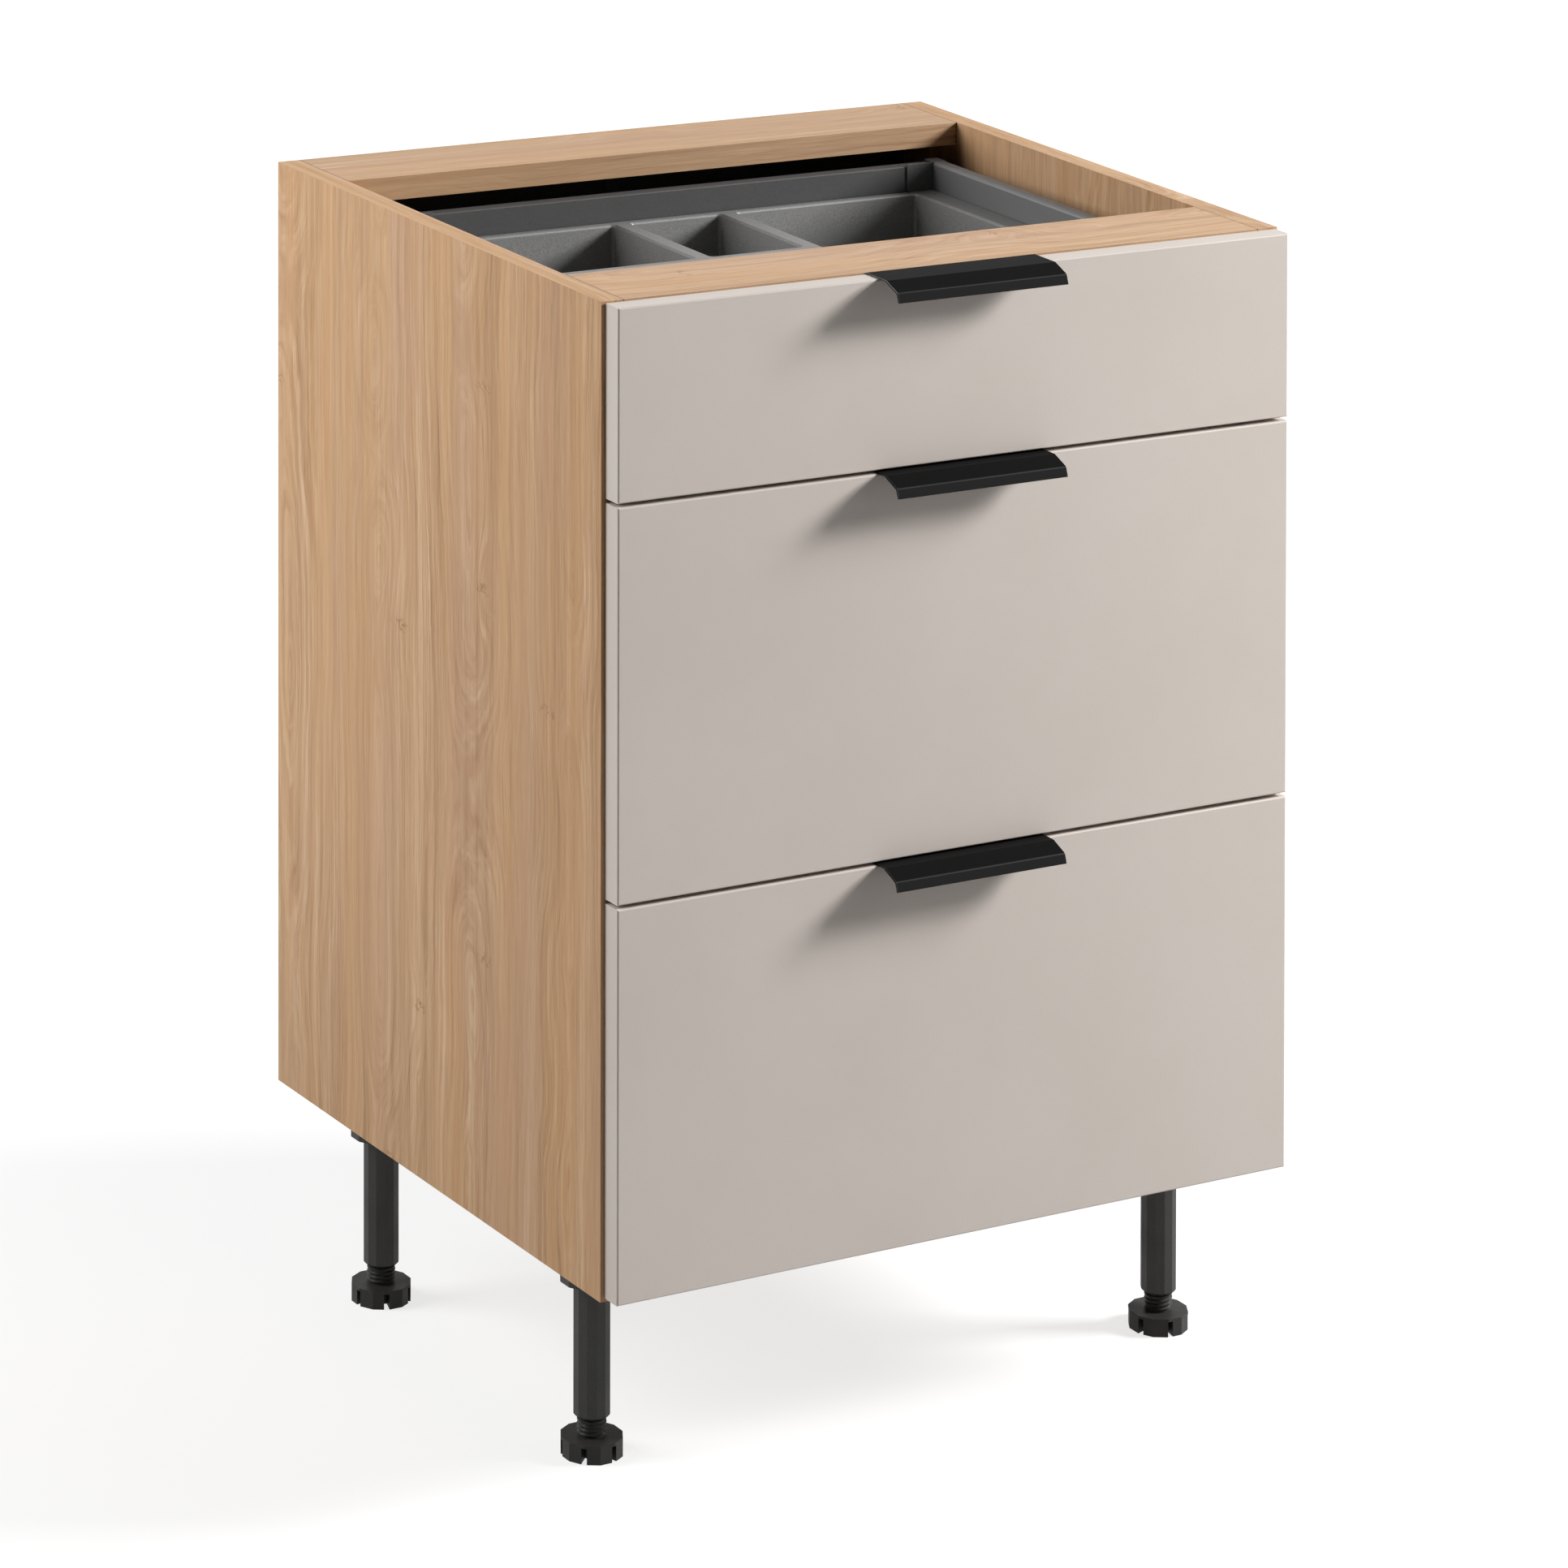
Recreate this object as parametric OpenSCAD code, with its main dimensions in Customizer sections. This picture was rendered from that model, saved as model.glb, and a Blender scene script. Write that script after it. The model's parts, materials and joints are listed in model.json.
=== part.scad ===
// Kitchen base cabinet with three drawers on adjustable legs, in millimetres.
// X runs along the width, Y from the fronts to the back, Z up from the floor.
// The origin is on the floor, midway between the handle lips and the back.

/* [Carcass] */
// Outer width of the carcass
carcass_w = 600; // [450:10:900]
// Height of the carcass without its legs
carcass_h = 720; // [700:10:800]
// Depth of the carcass, back panel included
carcass_d = 488; // [470:1:600]
// Thickness of the boards
board_t = 18; // [16:1:19]
// Depth of each flat top rail, front to back
rail_d = 80; // [60:5:100]
// Height of the back rail's lip over the back panel's top edge
rail_lip = 4; // [3:0.5:4]
// Width of the rebate that holds the back panel in each side
rebate_w = 8; // [6:1:10]
// Thickness of the back panel
back_t = 3; // [3:0.5:4]
// Width of the strip that joins the two halves of the back
strip_w = 14; // [10:1:20]
// Thickness of the joining strip's flanges and web
strip_t = 1; // [0.8:0.1:1.2]

/* [Joinery] */
// Radius of the dowels
dowel_r = 4; // [3:0.5:4]
// Length of the dowels
dowel_l = 30; // [25:1:35]
// Depth that dowels and cam bolts enter the side panels
joint_depth = 10; // [8:1:12]
// Radius of the cam housings
cam_r = 7.5; // [6:0.5:7.5]
// Height of the cam housings
cam_h = 12.5; // [11:0.5:13]
// Distance from a board's end to the centre of its cam
cam_inset = 34; // [24:1:34]
// Radius of the cam bolts
cam_bolt_r = 3; // [2.5:0.1:3.2]
// Spacing between a cam bolt and its neighbour dowel
joint_pitch = 32; // [24:1:40]
// Distance from the bottom panel's front and back edges to the first joint
joint_inset = 37; // [30:1:60]
// Length of the back panel screws
back_screw_l = 15; // [12:1:16]

/* [Legs] */
// Height of the legs from the floor to the carcass
leg_h = 150; // [120:5:180]
// Distance from the side's outer face to a leg's axis
leg_side_inset = 45; // [43:1:80]
// Distance from the carcass front edge to the front legs' axis
leg_front_inset = 87; // [50:1:110]
// Distance from the carcass back edge to the back legs' axis
leg_back_inset = 84; // [50:1:110]
// Radius over the corners of the twelve-sided sockets
socket_r = 24; // [22:0.5:25]
// Height of the sockets
socket_h = 22; // [18:1:26]
// Radius over the corners of the twelve-sided leg tubes
tube_r = 13.9; // [13.4:0.1:15]
// Height of the chamfer at the lower end of a tube
tube_chamfer = 1.8; // [0.5:0.1:2]
// Radius of the spigot that presses into the socket
spigot_r = 10.5; // [9:0.5:11]
// Length of the spigot
spigot_l = 14; // [10:1:16]
// Radius over the corners of the twelve-sided foot discs
foot_r = 23.5; // [20:0.5:28]
// Height of the foot discs
foot_h = 14; // [10:1:18]
// Number of slots in the rim of a foot
foot_slots = 6; // [4:1:8]
// Width of the slots
foot_slot_w = 4.1; // [2:0.1:6]
// Depth of the slots, from the rim inwards
foot_slot_d = 12; // [6:0.5:12]
// Height left above the slots
foot_slot_cap = 2.2; // [1.5:0.1:5]
// Outer radius of the foot's threaded stem
stem_r = 10.9; // [10:0.1:11]
// Depth of the stem's thread
thread_depth = 1; // [0.5:0.1:1.5]
// Pitch of the stem's thread
thread_pitch = 2.6; // [2:0.1:4]
// Stem that shows between the tube and the foot
stem_show = 14.4; // [13:0.2:20]
// Length of stem inside the tube
stem_hidden = 36; // [30:1:45]
// Travel of a foot upwards from the built height
foot_up = 10; // [5:1:12]

/* [Fronts] */
// Thickness of the drawer fronts
front_t = 18; // [16:1:22]
// Gap between neighbouring fronts
front_gap = 3; // [3:0.5:5]
// Distance from the carcass side to a front's end
front_side_inset = 3; // [1.5:0.5:5]
// Distance from the carcass top down to the top front
front_top_inset = 1; // [1:0.5:4]
// Distance from the carcass bottom up to the bottom front
front_bottom_inset = 3; // [0:0.5:5]
// Height of the top drawer's front
top_front_h = 140; // [130:5:180]
// Radius along the edges of the fronts
front_edge_r = 1.2; // [0.5:0.1:3]
// Clearance between the fronts and the carcass
front_clear = 0.3; // [0.2:0.1:2]

/* [Handles] */
// Length of the handles
handle_l = 150; // [100:10:320]
// Thickness of the flange that lies on the front's top edge
flange_t = 1; // [0.8:0.1:1.4]
// Thickness of the slope and lip
lip_t = 1.6; // [1.2:0.1:2.5]
// Reach of the flat flange in front of the front's face
flange_reach = 9; // [5:1:20]
// Reach of the slope beyond the flat flange
slope_reach = 14.6; // [10:0.2:20]
// Drop of the slope
slope_drop = 5.8; // [3:0.1:10]
// Reach of the leaning lip beyond the slope
lip_reach = 2.4; // [0:0.1:4]
// Drop of the lip
lip_drop = 7.2; // [5:0.1:12]
// Bend radius on the upper face of the handle
bend_r = 2.5; // [1:0.5:4]
// Height of the tab behind the front
tab_h = 20; // [16:1:30]
// Thickness of the tab
tab_t = 1.5; // [1.2:0.1:2]
// Spacing of the two handle screws
handle_screw_pitch = 128; // [64:32:128]
// Radius of the handle screws
handle_screw_r = 1.75; // [1.5:0.05:2]
// Length of the handle screws under the head
handle_screw_l = 12; // [10:1:13]

/* [Drawer boxes] */
// Nominal length of the drawer boxes and runners
drawer_l = 400; // [350:10:420]
// Height of the metal drawer sides
side_h = 84; // [78:1:86]
// Thickness of the hollow drawer sides
side_t = 13; // [12:0.5:15]
// Sheet thickness of the drawer sides
skin_t = 1; // [0.8:0.1:1.2]
// Gap between a cabinet side and a drawer side
wall_gap = 24.5; // [23:0.5:27]
// Clearance between the front rail and the top drawer's sides
rail_clear = 7; // [5:0.5:12]
// Height of a lower drawer's box above the lower edge of its front
box_lift = 32; // [30:1:40]
// Thickness of the drawer bases
base_t = 16; // [12:1:16]
// Width of the ledge that carries the base
ledge_w = 10; // [8:1:15]
// Thickness of the drawer backs
drawer_back_t = 12; // [10:1:16]
// Distance from the top of the top drawer's sides down to the top of its back
back_drop = 2; // [0:0.5:6]
// Height of the lower drawers' backs
tall_back_h = 190; // [160:5:200]
// Width of the corner brackets on the back's inner face
corner_w = 25; // [20:1:30]
// Thickness of the corner brackets' plate
corner_t = 1.3; // [1:0.1:2]
// Radius of the gallery rods
rod_r = 5; // [4:0.5:5]
// Height of the gallery rods above the drawer sides
rod_rise = 72; // [60:1:76]

/* [Runners] */
// Sheet thickness of the cabinet runners
runner_t = 1.5; // [1.2:0.1:1.6]
// Height of the cabinet runners' wall flange
runner_h = 40; // [36:1:44]
// Depth of the cabinet runner below the drawer side
runner_drop = 10; // [9:0.5:11]
// Sheet thickness of the sliding runners
beam_t = 1.2; // [1:0.1:1.4]
// Width of the sliding runners' lower flange
beam_foot_w = 16; // [14:1:18]
// Width of the sliding runners' upper flange
beam_head_w = 8; // [7:0.5:9]
// Height of the sliding runners
beam_h = 21.2; // [19:0.2:23]
// Running clearance between runner members
run_gap = 0.5; // [0.4:0.1:0.6]
// Share of a runner's length that the sliding runner has
beam_share = 0.95; // [0.85:0.01:0.96]
// Spacing of the runner screws
runner_screw_pitch = 128; // [96:32:160]
// Distance from the carcass front edge to the first runner screw
runner_screw_inset = 37; // [28:1:45]

/* [Cutlery tray] */
// Overall height of the tray
tray_h = 45; // [35:1:45]
// Wall thickness of the tray
tray_t = 2; // [1.5:0.1:2.5]
// Rim left between the tray's edge and the compartments at each end side
tray_rim_side = 22; // [12:1:26]
// Rim at the back and front edges
tray_rim_back = 8.4; // [6:0.2:14]
// Width of the bars between compartments
tray_bar = 15; // [10:1:20]
// Depth of the back row of compartments
tray_back_row = 120; // [90:5:150]
// Width of the middle column of compartments
tray_middle_w = 83; // [60:1:90]
// Width of the right compartment
tray_right_w = 171; // [140:1:185]
// Corner radius of the compartments
tray_corner_r = 9; // [5:0.5:12]
// Clearance around the tray inside its drawer
tray_clear = 0.5; // [0.3:0.1:2]
// Radius of the tray's outer corners
tray_edge_r = 4; // [2:0.5:8]

/* [Hidden] */
$fn = 48;

oak = [0.80, 0.64, 0.48];
greige = [0.74, 0.69, 0.65];
black_board = [0.06, 0.05, 0.05];
grey_metal = [0.36, 0.36, 0.36];
grey_plastic = [0.42, 0.42, 0.42];
bare_steel = [0.70, 0.71, 0.72];
black_metal = [0.10, 0.10, 0.10];
black_plastic = [0.19, 0.19, 0.19];
beech = [0.85, 0.72, 0.52];

// Drawers are numbered from the top
TOP = 0;
MIDDLE = 1;
BOTTOM = 2;
DRAWERS = [TOP, MIDDLE, BOTTOM];
// Sides of the cabinet
LEFT = -1;
RIGHT = 1;
// The handle's reach in front of the carcass sets where the origin lies
handle_reach = front_clear + front_t + flange_reach + slope_reach + lip_reach;
carcass_y = (handle_reach - carcass_d) / 2;
inner_w = carcass_w - 2 * board_t;
// The back panel and the strip's rear flange lie inside the carcass depth
back_inset = back_t + strip_t;
inner_d = carcass_d - back_inset;
// Upper end of the rebates for the back panel
rebate_top = carcass_h - rail_lip;
// Clearance of a close fit, of pieces slipped past each other, and the overrun of cuts
fit = 0.05;
slip = 0.2;
cut = 1;

// Fronts from the top down
lower_front_h = (carcass_h - front_top_inset - front_bottom_inset - top_front_h - 2 * front_gap) / 2;
front_h = [top_front_h, lower_front_h, lower_front_h];
front_z = [
    front_bottom_inset + 2 * (lower_front_h + front_gap),
    front_bottom_inset + lower_front_h + front_gap,
    front_bottom_inset
];
front_w = carcass_w - 2 * front_side_inset;
front_back_y = -front_clear;
front_face_y = front_back_y - front_t;

// Front brackets: an arm inside the drawer side and two pegs in the front
bracket_t = 2;
bracket_arm_l = 30;
bracket_low = 24;
bracket_high = side_h - 8;
peg_r = 4;
peg_l = 11;
peg_z = [bracket_low + 10, bracket_high - 10];
rod_holder_r = rod_r + 3;
rod_holder_l = 12;
rod_z = side_h + rod_rise;
bracket_arm_w = side_t - 2 * (skin_t + slip);
// Seam between the end of a drawer side and its corner bracket
seam = 0.1;

// Lower edges of the drawer boxes
box_z = [
    carcass_h - board_t - rail_clear - side_h,
    front_z[MIDDLE] + box_lift,
    front_z[BOTTOM] + box_lift
];
side_inner_x = inner_w / 2 - wall_gap - side_t;
side_mid_x = inner_w / 2 - wall_gap - side_t / 2;
base_bottom = skin_t;
base_top = base_bottom + base_t;
profile_start_y = front_back_y + bracket_t + fit;
profile_end_y = drawer_l - drawer_back_t - corner_t;
back_inner_y = drawer_l - drawer_back_t;
back_h = [side_h - back_drop, tall_back_h, tall_back_h];

// Sliding runner: its lower flange runs in the cabinet runner, its upper one in the drawer side
beam_bottom = runner_t + run_gap - runner_drop;
beam_top = beam_bottom + beam_h;
beam_l = drawer_l * beam_share;
beam_y = (drawer_l - beam_l) / 2;
channel_half = beam_foot_w / 2 + run_gap;
channel_lip_z = beam_bottom + beam_t + run_gap;
channel_lip = beam_foot_w / 4;
runner_screw_r = 2.5;
runner_screw_head_r = 4;
runner_screw_head_h = 2;
runner_screw_l = 12;
runner_screw_z = runner_h / 2 - runner_drop;
runner_screw_y = [for (i = [0:2]) runner_screw_inset + i * runner_screw_pitch];
runner_y = 2;

// Handle places
handle_head_r = 3;
handle_head_h = 1.7;
tab_back_y = front_back_y - handle_head_h - slip;
pocket_d = front_back_y - tab_back_y + tab_t + slip;
handle_screw_drop = tab_h / 2 + 2;

// Legs
leg_x = carcass_w / 2 - leg_side_inset;
leg_y = [leg_front_inset, carcass_d - leg_back_inset];
tube_l = leg_h - socket_h - foot_h - stem_show;
stem_clear = 0.3;
stem_end_gap = 2;
tube_bore_l = stem_hidden + foot_up + stem_end_gap;
spigot_end_gap = 1;
socket_floor = socket_h - spigot_l - spigot_end_gap;
socket_peg_r = 4;
socket_peg_l = 9;
socket_peg_pitch = 32;
socket_screw_r = 2.5;
socket_screw_head_r = 4.5;
socket_screw_head_h = 2.5;
socket_screw_l = 13;
// Turn of each foot's slots as it is screwed in: front and back, left then right
foot_turn = [[45, 19], [12, 31]];

// Joint rows along the depth: the bottom panel has two, each rail one
bottom_cam_y = [joint_inset, inner_d - joint_inset];
bottom_dowel_y = [joint_inset + joint_pitch, inner_d - joint_inset - joint_pitch];
rail_y = [0, carcass_d - rail_d];
rail_cam_y = [for (y = rail_y) y + rail_d / 2 - joint_pitch / 2];
rail_dowel_y = [for (y = rail_y) y + rail_d / 2 + joint_pitch / 2];
bottom_joint_z = board_t / 2;
rail_joint_z = carcass_h - board_t / 2;
back_screw_r = 1.4;
back_screw_head_r = 3;
back_screw_head_h = strip_t;
back_clear = 0.5;
side_screw_rows = 4;
edge_screw_x = [for (i = [-1.5:1:1.5]) i * inner_w / 4];

// Tray outline inside the top drawer, and its compartments as [x0, x1, y0, y1]
tray_x = side_inner_x - tray_clear;
tray_y0 = tray_clear;
tray_y1 = profile_end_y - tray_clear;
tray_left = -tray_x + tray_rim_side;
tray_right = tray_x - tray_rim_side;
middle_x1 = tray_right - tray_right_w - tray_bar;
middle_x0 = middle_x1 - tray_middle_w;
left_x1 = middle_x0 - tray_bar;
left_mid = (tray_left + left_x1) / 2;
row_y1 = tray_y1 - tray_rim_back;
row_y0 = row_y1 - tray_back_row;
front_row_y1 = row_y0 - tray_bar;
front_row_y0 = tray_y0 + tray_rim_back;
compartments = [
    [tray_left, left_x1, row_y0, row_y1],
    [middle_x0, middle_x1, row_y0, row_y1],
    [middle_x1 + tray_bar, tray_right, front_row_y0, row_y1],
    [tray_left, left_mid - tray_bar / 2, front_row_y0, front_row_y1],
    [left_mid + tray_bar / 2, left_x1, front_row_y0, front_row_y1],
    [middle_x0, middle_x1, front_row_y0, front_row_y1]
];

// Points of an arc that rounds the corner b between a and c
function unit(v) = v / norm(v);
function corner(a, b, c, r, n = 5) =
    let(u = unit(a - b), v = unit(c - b))
    let(half = acos(u * v) / 2)
    let(start = b + u * r / tan(half), centre = b + unit(u + v) * r / sin(half))
    let(from = start - centre, turn = 180 - 2 * half)
    let(dir = u[0] * v[1] - u[1] * v[0] > 0 ? -1 : 1)
    [for (i = [0:n])
        let(t = dir * turn * i / n)
        centre + [from[0] * cos(t) - from[1] * sin(t), from[0] * sin(t) + from[1] * cos(t)]];

// Places a shape given in the carcass frame: y = 0 on its front edge, z = 0 under its bottom
module in_carcass() {
    translate([0, carcass_y, leg_h]) children();
}

// A round bar or hole along X, from x0 towards +X when l is positive
module bar_x(x0, y, z, r, l) {
    translate([l < 0 ? x0 + l : x0, y, z]) rotate([0, 90, 0]) cylinder(r = r, h = abs(l));
}

// A round bar or hole along Y, from y0 to y1
module bar_y(x, y0, y1, z, r) {
    translate([x, y1, z]) rotate([90, 0, 0]) cylinder(r = r, h = y1 - y0);
}

// A rectangle with four round corners, its low corner at the origin
module rounded_rect(w, d, r) {
    translate([r, 0]) square([w - 2 * r, d]);
    translate([0, r]) square([w, d - 2 * r]);
    for (x = [r, w - r])
        for (y = [r, d - r])
            translate([x, y]) circle(r = r);
}

// Holes in one side panel for the dowels and cam bolts of the bottom and the rails
module side_joint_holes(side) {
    x = side * inner_w / 2;
    depth = side * (joint_depth + fit);
    for (y = bottom_dowel_y) bar_x(x - side * cut, y, bottom_joint_z, dowel_r + fit, depth + side * cut);
    for (y = rail_dowel_y) bar_x(x - side * cut, y, rail_joint_z, dowel_r + fit, depth + side * cut);
    for (y = bottom_cam_y) bar_x(x - side * cut, y, bottom_joint_z, cam_bolt_r + fit, depth + side * cut);
    for (y = rail_cam_y) bar_x(x - side * cut, y, rail_joint_z, cam_bolt_r + fit, depth + side * cut);
}

// Height of the back screw rows up a side panel
function side_screw_z(i) = carcass_h * (i + 0.5) / side_screw_rows;

module side_panel(side) {
    x0 = side == LEFT ? -carcass_w / 2 : inner_w / 2;
    rebate_x = side == LEFT ? -inner_w / 2 - rebate_w : inner_w / 2 - cut;
    color(oak) in_carcass() difference() {
        translate([x0, 0, 0]) cube([board_t, carcass_d, carcass_h]);
        translate([rebate_x, inner_d, -cut])
            cube([rebate_w + cut, back_inset + cut, rebate_top + cut]);
        side_joint_holes(side);
        for (d = DRAWERS)
            for (y = runner_screw_y)
                bar_x(side * (inner_w / 2 - cut), y, box_z[d] + runner_screw_z,
                      runner_screw_r, side * (runner_screw_l + cut));
        for (i = [0:side_screw_rows - 1])
            bar_y(side * (inner_w + rebate_w) / 2, carcass_d - back_screw_l - strip_t, carcass_d,
                  side_screw_z(i), back_screw_r);
    }
}

// Ends of a board between the sides: dowel holes, cam bolt holes and cam pockets from below
module board_joint_holes(cam_ys, dowel_ys, z, under_z) {
    for (side = [LEFT, RIGHT]) {
        x = side * inner_w / 2;
        for (y = dowel_ys)
            bar_x(x + side * cut, y, z, dowel_r + fit, -side * (dowel_l - joint_depth + cut + fit));
        for (y = cam_ys) {
            bar_x(x + side * cut, y, z, cam_bolt_r + 1, -side * (cam_inset + cut));
            translate([x - side * cam_inset, y, under_z - cut])
                cylinder(r = cam_r + fit, h = cam_h + cut + fit);
        }
    }
}

module bottom_panel() {
    color(oak) in_carcass() difference() {
        translate([-inner_w / 2, 0, 0]) cube([inner_w, inner_d, board_t]);
        board_joint_holes(bottom_cam_y, bottom_dowel_y, bottom_joint_z, 0);
        for (x = edge_screw_x)
            bar_y(x, carcass_d - back_screw_l - strip_t, inner_d + cut, bottom_joint_z, back_screw_r);
        for (sx = [LEFT, RIGHT])
            for (y = leg_y) {
                for (p = [-1, 1])
                    translate([sx * leg_x, y + p * socket_peg_pitch / 2, -cut])
                        cylinder(r = socket_peg_r + fit, h = socket_peg_l + cut + fit);
                translate([sx * leg_x, y, -cut])
                    cylinder(r = socket_screw_r, h = socket_screw_l + cut);
            }
    }
}

module top_rail(row) {
    y0 = rail_y[row];
    color(oak) in_carcass() difference() {
        translate([-inner_w / 2, y0, carcass_h - board_t]) cube([inner_w, rail_d, board_t]);
        board_joint_holes([rail_cam_y[row]], [rail_dowel_y[row]], rail_joint_z, carcass_h - board_t);
        if (row == 1) {
            translate([-inner_w / 2 - cut, inner_d, carcass_h - board_t - cut])
                cube([inner_w + 2 * cut, back_inset + cut, board_t - rail_lip + cut]);
            for (x = edge_screw_x)
                bar_y(x, carcass_d - back_screw_l - strip_t, inner_d + cut, rail_joint_z, back_screw_r);
        }
    }
}

module back_panel(side) {
    w = (inner_w + 2 * rebate_w - strip_t) / 2 - 2 * back_clear;
    x0 = side == LEFT ? -strip_t / 2 - back_clear - w : strip_t / 2 + back_clear;
    color(black_board) in_carcass() difference() {
        translate([x0, inner_d, back_clear]) cube([w, back_t, rebate_top - 2 * back_clear]);
        back_screw_places() bar_y(0, inner_d - cut, carcass_d, 0, back_screw_r + 0.1);
    }
}

// Every place where a back screw goes through the panel
module back_screw_places() {
    for (side = [LEFT, RIGHT])
        for (i = [0:side_screw_rows - 1])
            translate([side * (inner_w + rebate_w) / 2, 0, side_screw_z(i)]) children();
    for (x = edge_screw_x)
        for (z = [bottom_joint_z, rail_joint_z])
            translate([x, 0, z]) children();
}

module back_screws() {
    color(bare_steel) in_carcass() back_screw_places() {
        bar_y(0, carcass_d - back_screw_l - strip_t, inner_d + back_t, 0, back_screw_r);
        bar_y(0, inner_d + back_t, inner_d + back_t + back_screw_head_h, 0, back_screw_head_r);
    }
}

// H-section strip: its front flange lies between the bottom and the back rail
module back_joint_strip() {
    inner_z = board_t + back_clear;
    color(black_board) in_carcass() {
        translate([-strip_w / 2, inner_d - strip_t, inner_z])
            cube([strip_w, strip_t, carcass_h - 2 * inner_z]);
        translate([-strip_t / 2, inner_d - strip_t, inner_z])
            cube([strip_t, back_t + 2 * strip_t, carcass_h - 2 * inner_z]);
        translate([-strip_w / 2, inner_d + back_t, inner_z])
            cube([strip_w, strip_t, carcass_h - 2 * inner_z]);
    }
}

module dowels() {
    color(beech) in_carcass() for (side = [LEFT, RIGHT]) {
        x = side * (inner_w / 2 + joint_depth);
        for (y = bottom_dowel_y) bar_x(x, y, bottom_joint_z, dowel_r, -side * dowel_l);
        for (y = rail_dowel_y) bar_x(x, y, rail_joint_z, dowel_r, -side * dowel_l);
    }
}

// A round cam with a cross recess below and a slot that takes the bolt's head
module cam_housing(side) {
    slot_r = cam_bolt_r + 0.5;
    slot_back = 1;
    cross = [8, 1.2, 3];
    difference() {
        cylinder(r = cam_r, h = cam_h);
        bar_x(-side * slot_back, 0, board_t / 2, slot_r, side * (cam_r + slot_back + cut));
        for (a = [0, 90])
            rotate([0, 0, a]) translate([-cross[0] / 2, -cross[1] / 2, -cut])
                cube(cross + [0, 0, cut]);
    }
}

module cam_housings() {
    color(bare_steel) in_carcass() for (side = [LEFT, RIGHT]) {
        x = side * (inner_w / 2 - cam_inset);
        for (y = bottom_cam_y) translate([x, y, 0]) cam_housing(side);
        for (y = rail_cam_y) translate([x, y, carcass_h - board_t]) cam_housing(side);
    }
}

// A bolt with a narrow neck behind its round head
module cam_bolt(side, y, z) {
    neck_l = 4;
    neck_r = cam_bolt_r - 1.2;
    head_l = 2;
    x = side * (inner_w / 2 + joint_depth);
    shank_l = joint_depth + cam_inset - neck_l - head_l;
    bar_x(x, y, z, cam_bolt_r, -side * shank_l);
    bar_x(x - side * shank_l, y, z, neck_r, -side * neck_l);
    bar_x(x - side * (shank_l + neck_l), y, z, cam_bolt_r, -side * head_l);
}

module cam_bolts() {
    color(bare_steel) in_carcass() for (side = [LEFT, RIGHT]) {
        for (y = bottom_cam_y) cam_bolt(side, y, bottom_joint_z);
        for (y = rail_cam_y) cam_bolt(side, y, rail_joint_z);
    }
}

// Every leg's axis, at the underside of the carcass
module leg_places() {
    for (sx = [LEFT, RIGHT])
        for (y = leg_y)
            translate([sx * leg_x, y, 0]) children();
}

// A twelve-sided prism with its flats facing front, back, left and right
module twelve_sided(r, h) {
    rotate([0, 0, 180 / 12]) cylinder(r = r, h = h, $fn = 12);
}

module leg_sockets() {
    color(black_plastic) in_carcass() leg_places() difference() {
        union() {
            translate([0, 0, -socket_h]) twelve_sided(socket_r, socket_h);
            for (p = [-1, 1])
                translate([0, p * socket_peg_pitch / 2, -cut])
                    cylinder(r = socket_peg_r, h = socket_peg_l + cut);
        }
        translate([0, 0, -socket_h - cut])
            cylinder(r = spigot_r + fit, h = socket_h - socket_floor + cut);
        translate([0, 0, -socket_h]) cylinder(r = socket_screw_r + fit, h = socket_h + cut);
        translate([0, 0, -socket_floor - cut])
            cylinder(r = socket_screw_head_r + 0.2, h = socket_screw_head_h + cut);
    }
}

module leg_socket_screws() {
    z = socket_screw_head_h - socket_floor;
    color(bare_steel) in_carcass() leg_places() {
        translate([0, 0, z]) cylinder(r = socket_screw_r, h = socket_screw_l - z);
        translate([0, 0, -socket_floor]) cylinder(r = socket_screw_head_r, h = socket_screw_head_h);
    }
}

module leg_tube(sx, row) {
    top = -socket_h;
    color(black_plastic) in_carcass() translate([sx * leg_x, leg_y[row], top]) difference() {
        union() {
            intersection() {
                translate([0, 0, -tube_l]) twelve_sided(tube_r, tube_l);
                translate([0, 0, -tube_l])
                    cylinder(r1 = tube_r - tube_chamfer, r2 = tube_r - tube_chamfer + tube_l, h = tube_l);
            }
            translate([0, 0, -cut]) cylinder(r = spigot_r, h = spigot_l + cut);
        }
        translate([0, 0, -tube_l - cut]) cylinder(r = stem_r + stem_clear, h = tube_bore_l + cut);
    }
}

// Half outline of the stem with its thread as a row of ridges
function stem_outline(l) = concat(
    [[0, 0], [stem_r - thread_depth, 0]],
    [for (i = [0:floor(l / thread_pitch) - 1])
        for (p = [[stem_r - thread_depth, 0.2], [stem_r, 0.4], [stem_r, 0.6], [stem_r - thread_depth, 0.8]])
            [p[0], (i + p[1]) * thread_pitch]
    ],
    [[stem_r - thread_depth, l], [0, l]]
);

module foot(sx, row) {
    turn = foot_turn[row][sx == LEFT ? 0 : 1];
    stem_l = stem_show + stem_hidden;
    color(black_plastic) in_carcass() translate([sx * leg_x, leg_y[row], -leg_h]) {
        difference() {
            twelve_sided(foot_r, foot_h);
            for (i = [0:foot_slots - 1])
                rotate([0, 0, turn + i * 360 / foot_slots])
                    translate([foot_r - foot_slot_d, -foot_slot_w / 2, -cut])
                        cube([foot_slot_d + cut, foot_slot_w, foot_h - foot_slot_cap + cut]);
        }
        translate([0, 0, foot_h]) rotate_extrude() polygon(stem_outline(stem_l));
    }
}

// Both copies of a shape given for the right-hand side of a drawer
module both_sides() {
    children();
    mirror([1, 0, 0]) children();
}

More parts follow.
